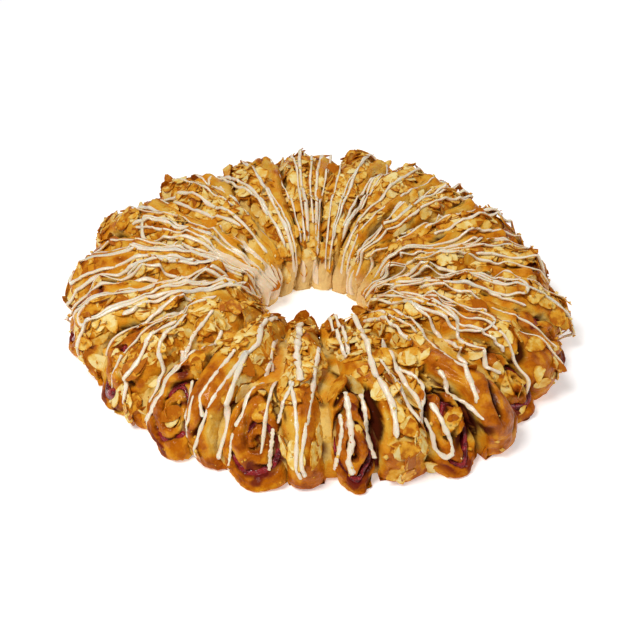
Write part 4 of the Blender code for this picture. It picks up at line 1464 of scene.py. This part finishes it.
def flake_shapes(count, random, sides, rings, size, cuts):
    """Flat flakes before they are laid: x, y and warp z on rings of points. The rim is an oval, pointed
    at one end; each cut, where it is drawn, moves what lies beyond a straight edge back onto it."""
    angle = np.linspace(0, TURN, sides, endpoint=False)[None, None, :]
    share = np.asarray(rings)[None, :, None]
    draws = random.uniform(0, 1, (count, 12, 1, 1))
    length = size[0] * (LEAST_LENGTH + SIZE_CHANGE * draws[:, 0])
    width = size[1] * (LEAST_WIDTH + SIZE_CHANGE * draws[:, 1])
    point = (LEAST_POINT + POINT_CHANGE * draws[:, 2]) * np.cos(angle) ** 4
    rim = 1 + point + RIM_UNEVENNESS * np.cos(3 * angle + TURN * draws[:, 3])
    x = 0.5 * length * rim * np.cos(angle)
    y = 0.5 * width * rim * np.sin(angle) * (1 - BLUNT_END * np.cos(angle))
    for cut, chance in enumerate(cuts):
        way = TURN * draws[:, 4 + 3 * cut]
        place = 0.5 * width * (0.85 * draws[:, 5 + 3 * cut] - 0.1)
        beyond = np.maximum(x * np.cos(way) + y * np.sin(way) - place, 0)
        trim = np.where(draws[:, 6 + 3 * cut] < chance, beyond, 0)
        x = x - trim * np.cos(way)
        y = y - trim * np.sin(way)
    middle_x = x.mean(2, keepdims=True)
    middle_y = y.mean(2, keepdims=True)
    x = middle_x + (x - middle_x) * share
    y = middle_y + (y - middle_y) * share
    bend = MOST_BEND * (draws[:, 10] - 0.35)
    twist = MOST_TWIST * (draws[:, 11] - 0.5)
    warp = bend * (x * x + 0.4 * y * y) + twist * x * y
    return np.stack([x, y, warp], -1)


def laid(shapes, place, outward, along, spin, tilt):
    """World points of flat shapes: spun in the surface, tipped, and set on their place."""
    beside = np.cross(outward, along)
    along = along * np.cos(spin)[:, None] + beside * np.sin(spin)[:, None]
    beside = np.cross(outward, along)
    tipped = along * np.cos(tilt)[:, None] + outward * np.sin(tilt)[:, None]
    up = outward * np.cos(tilt)[:, None] - along * np.sin(tilt)[:, None]
    axes = np.stack([tipped, beside, up], 1)[:, None, None]
    return place[:, None, None] + (shapes[..., None] * axes).sum(-2), up


def raised_to_contact(points, up, field):
    """Points moved along their own up direction until most of them are clear of the map."""
    azimuth, angle, distance = to_spine(points)
    sunk = read_map(field, azimuth, angle) - distance
    lift = np.percentile(sunk.reshape(len(sunk), -1), CONTACT_SHARE, axis=1)
    return points + (lift[:, None] * up)[:, None, None]


# %% The flakes fall in rounds
FLAKE_RINGS = (0.0, 0.62, 1.0)
PLACED_FLAKES = ((1, 24), (0, 14), (31, 19), (-36, 15), (22, 42), (20, 26), (6, 60), (11, 62), (-13, 37),
                 (18.5, 36), (24, 34), (22, 17), (18.5, 15), (24, 24), (20, 7))
PLACED_SIZE = (15.5 * MM, 11 * MM)
PLACED_SEED = 760
SHAPE_SEED = 50
PRINT_RINGS = np.linspace(0.05, 1, 9)
PRINT_SIDES = 30


def fallen(field, places, seed, sides, size, cuts):
    """One round: flakes that land on the field, and the field raised where they lie. A second, finer
    set of points of the same flakes is what rests on the field and is pressed into it."""
    azimuth, angle, random = places
    place, outward, along = map_axes(blurred(field, 3, 1), azimuth, angle)
    spin = random.uniform(0, TURN, len(azimuth))
    steep = random.uniform(0, 1, len(azimuth)) < STEEP_SHARE
    tilt = random.normal(0, 1, len(azimuth)) * np.where(steep, STEEP_TILT, FLAKE_TILT)
    shapes, prints = (
        flake_shapes(len(azimuth), np.random.default_rng(seed + SHAPE_SEED), *points, size, cuts)
        for points in ((sides, FLAKE_RINGS), (PRINT_SIDES, PRINT_RINGS))
    )
    resting, up = laid(prints, place, outward, along, spin, tilt)
    lifted = raised_to_contact(resting, up, field)
    sink = np.maximum(lifted[..., 2].max((1, 2)) - HIGHEST_FLAKE, 0)
    rise = np.maximum(LOWEST_FLAKE - lifted[..., 2].min((1, 2)), 0)
    lifted[..., 2] += (rise - sink)[:, None, None]
    top, up = laid(shapes, place + (lifted - resting)[:, 0, 0], outward, along, spin, tilt)
    raised = pressed_in(np.zeros_like(field), lifted + FLAKE_THICKNESS * up[:, None, None])
    raised = np.where(raised == 0, spread(raised, 1, np.maximum), raised)
    return np.maximum(field, raised), (top, up, random.uniform(0, 1, len(azimuth)))


topped_map = dough_map
flake_rounds = []
shard_rounds = []
seed = FLAKE_ROUND_SEED
for counts in zip(FLAKE_ROUNDS, SHARD_ROUNDS):
    for count, rounds, form in (
        (counts[0], flake_rounds, (FLAKE_SIDES, FLAKE_SIZE, FLAKE_CUTS)),
        (counts[1], shard_rounds, (SHARD_SIDES, SHARD_SIZE, SHARD_CUTS)),
    ):
        places = landing_places(count, seed, flake_cover, topped_map)
        topped_map, made = fallen(topped_map, places, seed, *form)
        rounds.append(made)
        seed += 1
spots = np.radians(PLACED_FLAKES)
places = (spots[:, 0], spots[:, 1], np.random.default_rng(PLACED_SEED))
topped_map, made = fallen(topped_map, places, PLACED_SEED, FLAKE_SIDES, PLACED_SIZE, (0, 0))
flake_rounds.append(made)
for name, rounds in (("flakes", flake_rounds), ("shards", shard_rounds)):
    print(name, sum(len(made[0]) for made in rounds))


# %% [markdown]
# The almond finish reads two attributes: how near a point is to the rim, and one tone for the whole
# flake. Rims and dark tones are toasted, and a fine grain runs over all of it.

# %% Almond finish
ALMOND_IVORY = (0.90, 0.72, 0.31)
ALMOND_PALE = (0.84, 0.54, 0.12)
ALMOND_GOLD = (0.74, 0.33, 0.022)
ALMOND_TOAST = (0.44, 0.115, 0.004)

almond = new_finish("almond", 0.42, specular=0.14, tint=(1.0, 0.75, 0.35), subsurface=0.06)
grain = noise(almond, 1.5 * MM, detail=2.0)
patches = noise(almond, 5 * MM)
rim_toast = combined(almond, "POWER", attribute(almond, "rim"), 6.0)
rim_toast = combined(almond, "MULTIPLY", rim_toast, patches)
toast = combined(almond, "ADD", attribute(almond, "tone"), ranged(almond, rim_toast, 0, 1, 0, 0.85))
toast = combined(almond, "ADD", toast, ranged(almond, patches, 0, 1, -0.2, 0.26))
almond_colour = ramp(almond, toast, (
    (0.0, ALMOND_IVORY), (0.3, ALMOND_PALE), (0.62, ALMOND_GOLD), (1.0, ALMOND_TOAST),
))
into_shader(almond, Base_Color=almond_colour)
bumped(almond, ((grain, 0.12 * MM),))


# %% The flakes as meshes
CRISP_ANGLE = 50 * DEGREE
BURNT_DRAW = 0.93


def flake_mesh(top, up):
    """Joined flakes: a middle, a ring and the rim on top, the rim again underneath and a middle below."""
    count, _, sides = top.shape[:3]
    thick = (FLAKE_THICKNESS * up)[:, None, None]
    rows = [top[:, :1, :1], top[:, 1:2], top[:, 2:3], top[:, 2:3] - thick, top[:, :1, :1] - thick]
    points = np.concatenate([row.reshape(count, -1, 3) for row in rows], 1)
    side = np.arange(sides)
    beside = (side + 1) % sides
    inner = 1 + side
    rim = 1 + sides + side
    under = 1 + 2 * sides + side
    bands = [
        np.stack([lower, lower - side + beside, upper - side + beside, upper], -1)
        for lower, upper in ((inner, rim), (rim, under))
    ]
    fans = np.concatenate([
        np.stack([inner - side + beside, inner, np.zeros(sides, int)], -1),
        np.stack([under, under - side + beside, np.full(sides, 1 + 3 * sides)], -1),
    ])
    start = np.arange(count)[:, None, None] * points.shape[1]
    quads = (np.concatenate(bands)[None] + start).reshape(-1, 4)
    triangles = (fans[None] + start).reshape(-1, 3)
    near_rim = np.concatenate([[0], np.full(sides, 0.62), np.ones(2 * sides), [0.3]])
    return points.reshape(-1, 3), quads, triangles, np.tile(near_rim, count), points.shape[1]


def flake_piece(name, rounds):
    """All flakes of one kind as a piece, with crisp rims."""
    top, up, draw = (np.concatenate(parts) for parts in zip(*rounds))
    points, quads, fans, rim, size = flake_mesh(top, up)
    tone = 0.85 * draw ** 1.15 + 0.3 * (draw > BURNT_DRAW)
    fields = {"rim": rim, "tone": np.repeat(tone, size)}
    piece = mesh_piece(name, points, quads, fans, fields, almond)
    piece.data.set_sharp_from_angle(angle=CRISP_ANGLE)
    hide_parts("dough")
    print(name, "triangles", 2 * len(quads) + len(fans))


flake_piece("almond_flakes", flake_rounds)
flake_piece("almond_shards", shard_rounds)

# %% [markdown]
# ## Icing
# Thin white icing was drizzled back and forth across the ring, from the hole to the rim. A line of it is
# a ribbon whose section is a low bead. In front its path is a row of places, elsewhere a formula of
# azimuth and angle round the spine. Its height is read from a bridged map, so that it spans narrow
# crevices and sinks a little into wide ones.

# %% Icing finish
ICING_WHITE = (0.88, 0.77, 0.61)
ICING_THIN = (0.82, 0.60, 0.34)

icing = new_finish("icing", 0.32, coat=0.2, coat_roughness=0.12, subsurface=0.25)
icing_clouds = noise(icing, 6 * MM)
icing_grain = noise(icing, 1.2 * MM, detail=2.0)
thinness = combined(icing, "MULTIPLY", attribute(icing, "edge"), 0.8)
thinness = combined(icing, "ADD", thinness, ranged(icing, icing_clouds, 0, 1, 0, 0.2))
into_shader(icing, Base_Color=ramp(icing, thinness, ((0.0, ICING_WHITE), (1.0, ICING_THIN))))
bumped(icing, ((icing_clouds, 0.3 * MM), (icing_grain, 0.06 * MM)))

# %% Bridged map
BRIDGE_CELLS = 5
BRIDGE_SHARE = 0.65
LUMP_COVER = 0.2 * MM

closed_map = spread(spread(topped_map, BRIDGE_CELLS, np.maximum), BRIDGE_CELLS, np.minimum)
icing_map = blurred(BRIDGE_SHARE * closed_map + (1 - BRIDGE_SHARE) * topped_map, 3, 2)
icing_map = blurred(np.maximum(icing_map, topped_map - LUMP_COVER), 1, 1)

# %% [markdown]
# The lines in front are given one by one: first the width in millimetres, then azimuths round the ring
# and angles round the spine in degrees.

# %% Lines placed one by one in front
FRONT_LINES = (
    (2.4, ((-52, 80), (-50, 49), (-49, 32), (-49, 5))),
    (2.2, ((-52, 90), (-47, 56), (-43, 28), (-43, 14))),
    (3.6, ((-43, 64), (-41, 49), (-41, 37), (-40, 25), (-41, 12), (-43, -4))),
    (1.9, ((-47, 108), (-45, 91), (-42, 64), (-41, 55))),
    (1.9, ((-40, 108), (-39, 91), (-38, 65), (-40, 45), (-40, 31))),
    (2.0, ((-34, 45), (-32, 31), (-31, 14), (-30, 7), (-29, 22), (-30, 37))),
    (2.0, ((-26, 80), (-27, 54), (-28, 38), (-26, 26))),
    (2.0, ((-23, 88), (-24, 54), (-25, 36), (-26, 20), (-27, -4))),
    (2.8, ((-28, 150), (-25, 120), (-22, 104), (-23, 79), (-22, 50), (-22, 32), (-21, 17), (-22, -3))),
    (2.2, ((-15, 100), (-16, 83), (-16, 63), (-18, 46), (-18, 32), (-19, 23))),
    (2.0, ((-20, 142), (-16, 97), (-12, 70), (-12, 51), (-12, 32), (-12, 8))),
    (2.0, ((-6, 62), (-8, 45), (-9, 30))),
    (2.2, ((-10, 26), (-10, 16), (-10, -1))),
    (1.7, ((-19, 19), (-19, 3), (-19, -9))),
    (3.8, ((-9, 140), (-7, 112), (-6, 86), (-4, 63))),
    (2.2, ((-7, 63), (-5, 46), (-4, 27), (-4, 9), (-3, -1))),
    (2.3, ((2, 118), (0, 76), (-1, 51), (-2, 32), (-3, 13), (-2, 0))),
    (2.0, ((9, 145), (10, 121), (11, 96))),
    (2.2, ((13, 148), (13, 120), (12, 97))),
    (3.4, ((8, 55), (8, 35), (8, 19), (7, 7), (8, -1))),
    (2.0, ((6, 38), (6, 27), (5, 11), (4, -1))),
    (2.4, ((12, 52), (12, 32), (12, 18), (13, 5))),
    (3.2, ((26, 146), (20, 113), (18, 81), (17, 58), (18, 41), (17, 22))),
    (2.8, ((21, 81), (22, 62), (22, 44), (22.3, 33), (23, 27), (24.3, 25), (25.6, 28), (26.2, 36),
           (26.5, 44), (26, 61), (26, 81), (27, 106))),
    (2.0, ((26, 74), (29, 57), (30, 47), (28, 36), (25, 26))),
    (2.7, ((26, 24), (26, 14), (26, 7), (26.8, 3), (28, 1), (29.3, 3), (30, 8), (29, 16),
           (29, 25), (29, 32))),
    (2.2, ((30, 144), (33, 122), (33, 101), (34, 87))),
    (1.9, ((37, 145), (38, 125), (38, 103), (39, 94))),
    (2.4, ((46, 140), (43, 114), (42, 88), (40, 61), (40, 45), (38, 33), (37, 25))),
    (2.0, ((52, 130), (49, 97), (49, 74), (46, 54), (46, 42))),
    (2.2, ((58, 110), (54, 80), (49, 62), (50, 47), (48, 34), (50, 26))),
    (2.2, ((35, 52), (35, 39), (34, 33), (36, 25), (37, 16))),
)
LINE_STEPS = 120
LINE_SOFTNESS = 2
MAP_STRETCH = 2.3


def placed_paths():
    """Azimuths and angles at equal steps along each placed line, as radians, softened by a running mean."""
    paths = []
    for _, places in FRONT_LINES:
        corners = np.radians(np.array(places, float))
        steps = np.diff(corners, axis=0) * (MAP_STRETCH, 1)
        length = np.concatenate([[0], np.cumsum(np.hypot(*steps.T))])
        even = np.linspace(0, length[-1], LINE_STEPS)
        path = np.stack([np.interp(even, length, corners[:, side]) for side in (0, 1)])
        padded = np.pad(path, ((0, 0), (LINE_SOFTNESS, LINE_SOFTNESS)), "reflect", reflect_type="odd")
        total = np.cumsum(np.pad(padded, ((0, 0), (1, 0))), 1)
        span = 2 * LINE_SOFTNESS + 1
        paths.append((total[:, span:] - total[:, :-span]) / span)
    return np.array(paths).transpose(1, 0, 2)


# %% Paths of the other lines
HAIRPIN_COUNT = 14
SINGLE_COUNT = 80
FRONT_LIMIT = 52 * DEGREE
LINE_SEED = 800
HAIRPIN_TURN = 4 * DEGREE
HAIRPIN_TURN_CHANGE = 48 * DEGREE
HAIRPIN_START = 150 * DEGREE
HAIRPIN_START_CHANGE = 20 * DEGREE
HAIRPIN_GAP = 2.2 * DEGREE
HOLE_END = 176 * DEGREE
HOLE_END_CHANGE = 72 * DEGREE
RIM_END = -6 * DEGREE
RIM_END_CHANGE = 78 * DEGREE
LINE_DRIFT = 3 * DEGREE
LINE_WANDER = 0.45 * DEGREE
LINE_CROWDING = 0.14
SLOW_BENDS = 1.1
QUICK_BENDS = 3.3
FOLD_ROUNDING = 0.0016
FOLD_TURN = 0.045


def lateral_wander(share, random, count):
    """Slow and quick bends of each line, as azimuths: two sine waves with random phases."""
    phases = random.uniform(0, TURN, (count, 2, 1))
    slow = np.sin(TURN * SLOW_BENDS * share + phases[:, 0])
    quick = np.sin(TURN * QUICK_BENDS * share + phases[:, 1])
    return LINE_WANDER * (slow + 0.25 * quick)


def past_the_front(azimuth, angle):
    """The paths whose middle lies outside the front, where the lines are listed one by one."""
    keep = np.abs(turn_from(azimuth[:, LINE_STEPS // 2])) > FRONT_LIMIT
    return azimuth[keep], angle[keep]


def hairpin_paths():
    """Lines that run out, turn round and come back: the angle is a folded ramp with a round end, and
    the azimuth steps aside at the turn."""
    random = np.random.default_rng(LINE_SEED)
    draws = random.uniform(0, 1, (HAIRPIN_COUNT, 6, 1))
    share = np.linspace(-1, 1, LINE_STEPS)
    turn_angle = HAIRPIN_TURN + HAIRPIN_TURN_CHANGE * draws[:, 0]
    fold = np.sqrt(share ** 2 + FOLD_ROUNDING) / math.sqrt(1 + FOLD_ROUNDING)
    start = HAIRPIN_START + HAIRPIN_START_CHANGE * draws[:, 3]
    angle = turn_angle + (start - turn_angle) * fold
    apart = HAIRPIN_GAP + HAIRPIN_GAP * draws[:, 1]
    aside = apart * np.tanh(share / FOLD_TURN)
    middle = TURN * (np.arange(HAIRPIN_COUNT)[:, None] + 0.7 * draws[:, 2]) / HAIRPIN_COUNT
    drift = LINE_DRIFT * (2 * draws[:, 4] - 1) * fold
    return past_the_front(middle + aside + drift + lateral_wander(fold, random, HAIRPIN_COUNT), angle)


def single_paths():
    """Lines that run off the rim, or stop part of the way. They lie closer at the left and right."""
    random = np.random.default_rng(LINE_SEED + 1)
    draws = random.uniform(0, 1, (SINGLE_COUNT, 6, 1))
    share = np.linspace(0, 1, LINE_STEPS)
    start = HOLE_END - HOLE_END_CHANGE * draws[:, 0] ** 2.5
    end = RIM_END + RIM_END_CHANGE * draws[:, 1] ** 2
    angle = start + (end - start) * share
    middle = TURN * (np.arange(SINGLE_COUNT)[:, None] + 0.8 * draws[:, 2]) / SINGLE_COUNT
    middle = middle + LINE_CROWDING * np.sin(2 * middle)
    drift = LINE_DRIFT * (2 * draws[:, 4] - 1) * share
    return past_the_front(middle + drift + lateral_wander(share, random, SINGLE_COUNT), angle)


# %% Ribbons along the paths
LINE_WIDTH = 2.1 * MM
FRONT_BOLDNESS = 1.12
LINE_WIDTH_CHANGE = 0.6 * MM
LINE_THINNING = 0.2
LINE_HEIGHT = 0.48 * MM
LINE_BURY = 1.4 * MM
LINE_SINK = 0.15 * MM
LINE_PULSE = 0.2
LINE_PULSES = (4, 9.3)
LINE_TIP_GROWTH = 60
LEAST_TIP = 0.02
LINE_TOP_POINTS = 5
SIDE_SLOPE = 0.6
LEAST_ICING_HEIGHT = 1.5 * MM
HIGHEST_ICING = 62.2 * MM


def drawn_widths(azimuth, seed):
    """Random widths, smaller on the right side of the ring, where the lines are thinnest."""
    random = np.random.default_rng(seed)
    draws = random.uniform(-1, 1, (len(azimuth), 1))
    on_right = 0.5 + 0.5 * np.sin(azimuth[:, LINE_STEPS // 2, None])
    return (LINE_WIDTH + LINE_WIDTH_CHANGE * draws) * (1 - LINE_THINNING * on_right)


def ribbons(azimuth, angle, base_width, seed):
    """Low beads of icing. Points are set out sideways from the path, read on the bridged map but tipped
    no steeper than a side slope, and raised by a half-round profile; the underside lies a little below."""
    random = np.random.default_rng(seed)
    count, steps = azimuth.shape
    centre = from_spine(azimuth, angle, read_map(icing_map, azimuth, angle))
    smooth_path = from_spine(azimuth, angle, CREST_HEIGHT - SPINE_HEIGHT)
    away = unit(smooth_path - from_spine(azimuth, angle, 0.0))
    beside = unit(np.cross(np.gradient(smooth_path, axis=1), away))
    share = np.linspace(0, 1, steps)
    phases = random.uniform(0, TURN, (count, 2, 1))
    slow, quick = (np.sin(TURN * LINE_PULSES[side] * share + phases[:, side]) for side in (0, 1))
    taper = np.sqrt(np.clip(np.minimum(share, 1 - share) * LINE_TIP_GROWTH, LEAST_TIP, 1))
    width = base_width * (1 + LINE_PULSE * (slow + 0.7 * quick)) * taper
    top = np.sin(np.linspace(-np.pi / 2, np.pi / 2, LINE_TOP_POINTS))
    across = np.concatenate([top, [0.5, 0.0, -0.5]])
    rise = np.concatenate([np.sqrt(1 - top ** 2), [0, 0, 0]])
    sunk = np.concatenate([np.zeros(LINE_TOP_POINTS), [1, 1, 1]])
    spots = centre[:, :, None] + beside[:, :, None] * (0.5 * width[..., None] * across)[..., None]
    spot_azimuth, spot_angle, _ = to_spine(spots)
    middle = read_map(icing_map, azimuth, angle)[..., None]
    most = SIDE_SLOPE * 0.5 * width[..., None] * np.abs(across)
    surface = middle + np.clip(read_map(icing_map, spot_azimuth, spot_angle) - middle, -most, most)
    bead = LINE_HEIGHT * (0.75 + 0.25 * width / LINE_WIDTH) * taper
    lift = rise * bead[..., None] - LINE_BURY * sunk - LINE_SINK
    grids = from_spine(spot_azimuth, spot_angle, surface + lift)
    grids[..., 2] = np.clip(grids[..., 2], LEAST_ICING_HEIGHT, HIGHEST_ICING)
    edge = np.abs(across) ** 2 * np.ones(grids.shape[:3])
    return grids, edge


placed_widths = FRONT_BOLDNESS * MM * np.array([[width] for width, _ in FRONT_LINES])
line_sets = [ribbons(*placed_paths(), placed_widths, LINE_SEED + 4)]
for number, (azimuth, angle) in enumerate((hairpin_paths(), single_paths())):
    widths = drawn_widths(azimuth, LINE_SEED + 7 + number)
    line_sets.append(ribbons(azimuth, angle, widths, LINE_SEED + 5 + number))
line_grids = np.concatenate([grids for grids, _ in line_sets])
line_edges = np.concatenate([edge for _, edge in line_sets])
print("icing lines", line_grids.shape)


# %% The lines as one mesh
def joined_tubes(grids, values):
    """Many grids of one size in one mesh, each closed round its section and at both ends."""
    quads, triangles = tube_faces(*grids.shape[1:3])
    size = grids.shape[1] * grids.shape[2] + 2
    points = np.concatenate([tube_points(grid) for grid in grids])
    field = np.concatenate([tube_points(value[..., None])[:, 0] for value in values])
    start = np.arange(len(grids))[:, None, None] * size
    return points, (quads + start).reshape(-1, 4), (triangles + start).reshape(-1, 3), field


line_points, line_quads, line_fans, line_field = joined_tubes(line_grids, line_edges)
lines = mesh_piece("icing_lines", line_points, line_quads, line_fans, {"edge": line_field}, icing)
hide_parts("dough")
print("icing triangles", 2 * len(line_quads) + len(line_fans))

# %% [markdown]
# Near the hole the lines run together into a thin sheet that melted down the wall, most of it at the
# back and the left. The sheet covers the whole wall as a grid, and dives under the dough where there is
# no icing, so its ragged border needs no cutting.

# %% Melted sheet near the hole
SHEET_COLUMNS = 520
SHEET_ROWS = 56
SHEET_LOW = 128 * DEGREE
SHEET_HIGH = 190 * DEGREE
SHEET_THICKNESS = 1.1 * MM
SHEET_BURY = 1.6 * MM
SHEET_EDGE = 0.55
SHEET_FADE = 0.08
SHEET_SHARES = (-0.25, 0.35)
SHEET_DEPTH = 0.8 * MM
WALL_RADIUS = 40
WALL_FOOT = (154 * DEGREE, 176 * DEGREE)
LEAST_SHEET_AZIMUTH = 35 * DEGREE
POOL_AZIMUTH = -113 * DEGREE
POOL_SIDES = (30 * DEGREE, 12 * DEGREE)
POOL_ANGLES = (122 * DEGREE, 146 * DEGREE)
RUNS = (0.6, 7.0, 91)
BLOTS = (9, 16.0, 92)
STRANDS = (0.6, 3.4, 93)


def wall_waves(azimuth, angle, rate, length, seed):
    """Soft relief round the wall of the hole: waves on a tube, as high as the angle times a rate. A
    small rate draws it out up and down."""
    round_wall = (WALL_RADIUS * np.sin(azimuth), WALL_RADIUS * np.cos(azimuth), rate * angle)
    return waves(np.stack(round_wall, -1), length, seed)


def sheet_mask(azimuth, angle):
    """Where the sheet shows: along the foot of the wall, in runs drawn out above it, and in a pool of
    thick strands at the back left."""
    runs, blots, strands = (wall_waves(azimuth, angle, *kind) for kind in (RUNS, BLOTS, STRANDS))
    favoured = away_from(azimuth, LEAST_SHEET_AZIMUTH)
    lower = smooth_step(*WALL_FOOT, angle)
    pool = smooth_step(*POOL_SIDES, np.abs(turn_from(azimuth, POOL_AZIMUTH)))
    pool = pool * smooth_step(*POOL_ANGLES, angle)
    return 0.8 * runs + 0.3 * blots + 0.6 * favoured + (1.5 + strands) * pool + 1.6 * lower - 3.2


def sheet_grid():
    """The icing's height where the mask shows it and a depth under the dough elsewhere, with a second
    layer below both, as one grid that is closed along both sides."""
    azimuth = np.linspace(0, TURN, SHEET_COLUMNS, endpoint=False)[:, None]
    angle = np.linspace(SHEET_LOW, SHEET_HIGH, SHEET_ROWS)[None, :]
    azimuth, angle = np.broadcast_arrays(azimuth, angle)
    fade = ends_faded((angle - SHEET_LOW) / (SHEET_HIGH - SHEET_LOW), SHEET_FADE)
    shown = smooth_step(*SHEET_SHARES, sheet_mask(azimuth, angle)) * fade
    surface = read_map(blurred(icing_map, 2, 1), azimuth, angle)
    hidden = read_map(spread(dough_map, 2, np.minimum), azimuth, angle) - SHEET_BURY
    top = from_spine(azimuth, angle, (surface + SHEET_THICKNESS) * shown + hidden * (1 - shown))
    bottom = from_spine(azimuth, angle, hidden - SHEET_DEPTH)
    edge = SHEET_EDGE + (1 - SHEET_EDGE) * np.concatenate([1 - shown, 1 - shown[:, ::-1]], 1)
    grid = np.concatenate([top, bottom[:, ::-1]], 1)
    grid[..., 2] = np.maximum(grid[..., 2], LEAST_ICING_HEIGHT)
    return grid, edge


sheet, sheet_edge = sheet_grid()
sheet_quads = ring_faces(*sheet.shape[:2])
sheet_piece = mesh_piece(
    "icing_sheet", sheet.reshape(-1, 3), sheet_quads, [], {"edge": sheet_edge}, icing,
)
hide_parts("dough")

# %% [markdown]
# ## Crumbs
# Bits of almond and burnt sugar lie between the flakes, mostly 1 to 4 mm across. Each is an octahedron
# with its six corners moved at random, which is enough for something so small.

# %% Crumbs
CRUMB_COUNT = 1100
CRUMB_SEED = 900
CRUMB_SIZE = 1.2 * MM
CORNERS = np.array([(1, 0, 0), (-1, 0, 0), (0, 1, 0), (0, -1, 0), (0, 0, 1), (0, 0, -1)], float)
SIDES = np.array([
    (0, 2, 4), (2, 1, 4), (1, 3, 4), (3, 0, 4), (2, 0, 5), (1, 2, 5), (3, 1, 5), (0, 3, 5),
])


def crumb_cover(azimuth, angle, distance):
    """Crumbs lie wherever flakes do, and in the crevices too."""
    return np.clip(0.25 + 0.75 * flake_cover(azimuth, angle, distance), 0, 1)


crumb_azimuth, crumb_angle, crumb_random = landing_places(CRUMB_COUNT, CRUMB_SEED, crumb_cover, topped_map)
crumb_place = from_spine(crumb_azimuth, crumb_angle, read_map(topped_map, crumb_azimuth, crumb_angle))
crumb_draws = crumb_random.uniform(0, 1, (len(crumb_place), 6, 3))
crumb_size = CRUMB_SIZE * (0.5 + crumb_random.uniform(0, 1, (len(crumb_place), 1, 1)) ** 2)
stretch = 0.6 + 0.9 * crumb_random.uniform(0, 1, (len(crumb_place), 1, 3))
crumb_points = crumb_place[:, None] + crumb_size * (CORNERS * stretch + 0.5 * (crumb_draws - 0.5))
crumb_points[..., 2] = np.clip(crumb_points[..., 2], LEAST_ICING_HEIGHT, HIGHEST_ICING)
crumb_sides = (SIDES[None] + 6 * np.arange(len(crumb_place))[:, None, None]).reshape(-1, 3)
crumb_tone = np.repeat(0.1 + 0.7 * crumb_random.uniform(0, 1, len(crumb_place)), 6)
crumb_fields = {"rim": np.full(len(crumb_tone), 0.5), "tone": crumb_tone}
crumbs = mesh_piece("crumbs", crumb_points.reshape(-1, 3), [], crumb_sides, crumb_fields, almond)
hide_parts("dough")
print("crumbs", len(crumb_place))

# %% [markdown]
# ## Floor, light and camera
# The ring lies on a plain pale floor. A broad soft key light from the front left gives the crust its
# gloss, weaker ones from the right and from behind draw the rims, and a pale world fills the crevices.
# The camera looks down at 37.5 degrees from 850 mm, which is where the ellipses of the photograph fit.

# %% Floor
FLOOR_SIZE = 6.0
FLOOR_GLOW = 0.35
FLOOR_CLOUDS = 0.8
FLOOR_GREY = (0.93, 0.93, 0.93)
FLOOR_PALE = (0.95, 0.95, 0.95)


def floor_piece():
    """A square of a very pale grey that glows a little, so that it stays pale at its far side."""
    half = 0.5 * FLOOR_SIZE
    corners = [(-half, -half, 0), (half, -half, 0), (half, half, 0), (-half, half, 0)]
    mesh = bpy.data.meshes.new("floor")
    mesh.from_pydata(corners, [], [(0, 1, 2, 3)])
    floor = bpy.data.objects.new("floor", mesh)
    bpy.context.scene.collection.objects.link(floor)
    finish = new_finish("floor", 0.9)
    shader = finish.node_tree.nodes["Principled BSDF"]
    shader.inputs["Emission Color"].default_value = (1, 1, 1, 1)
    shader.inputs["Emission Strength"].default_value = FLOOR_GLOW
    tint = ramp(finish, noise(finish, FLOOR_CLOUDS), ((0.0, FLOOR_GREY), (1.0, FLOOR_PALE)))
    into_shader(finish, Base_Color=tint)
    mesh.materials.append(finish)
    return floor


floor_piece()


# %% Lights
LIGHTS = (
    ("key", (-0.45, -0.55, 1.2), 0.5, 14.7),
    ("side", (1.1, -0.2, 0.8), 0.6, 3.5),
    ("back", (0.2, 1.1, 0.9), 0.6, 3.3),
)
WORLD_STRENGTH = 0.14


def area_light(name, place, size, power):
    """A square soft light at a place, turned to the middle of the ring."""
    light = bpy.data.lights.new(name, "AREA")
    light.size = size
    light.energy = power
    lamp = bpy.data.objects.new(name, light)
    lamp.location = place
    lamp.rotation_euler = (-Vector(place)).to_track_quat("-Z", "Y").to_euler()
    bpy.context.scene.collection.objects.link(lamp)


for light in LIGHTS:
    area_light(*light)

world = bpy.data.worlds.new("studio")
world.use_nodes = True
world.node_tree.nodes["Background"].inputs["Color"].default_value = (1, 1, 1, 1)
world.node_tree.nodes["Background"].inputs["Strength"].default_value = WORLD_STRENGTH
bpy.context.scene.world = world
bpy.context.scene.view_settings.view_transform = "Standard"

# %% Camera
CAMERA_DISTANCE = 0.85
CAMERA_ELEVATION = 37.5 * DEGREE
CAMERA_LOOK = Vector((1.1 * MM, -0.4 * MM, 20 * MM))
IMAGE_SIZE = 640
FOCAL_PIXELS = 1219.8
LOOK_PIXEL = (317.3, 301.1)
SENSOR_WIDTH = 36.0


def photo_camera():
    """The look point falls on its pixel when the camera is turned a little below and beside it."""
    back = Vector((0, -math.cos(CAMERA_ELEVATION), math.sin(CAMERA_ELEVATION)))
    up = Vector((0, math.sin(CAMERA_ELEVATION), math.cos(CAMERA_ELEVATION)))
    right = Vector((1, 0, 0))
    across = (0.5 * IMAGE_SIZE - LOOK_PIXEL[0]) / FOCAL_PIXELS
    down = (0.5 * IMAGE_SIZE - LOOK_PIXEL[1]) / FOCAL_PIXELS
    data = bpy.data.cameras.new("camera")
    data.sensor_width = SENSOR_WIDTH
    data.lens = FOCAL_PIXELS / IMAGE_SIZE * SENSOR_WIDTH
    camera = bpy.data.objects.new("camera", data)
    camera.location = CAMERA_LOOK + back * CAMERA_DISTANCE
    aim = -back + right * across - up * down
    camera.rotation_euler = aim.to_track_quat("-Z", "Y").to_euler()
    bpy.context.scene.collection.objects.link(camera)
    return camera


bpy.context.scene.camera = photo_camera()
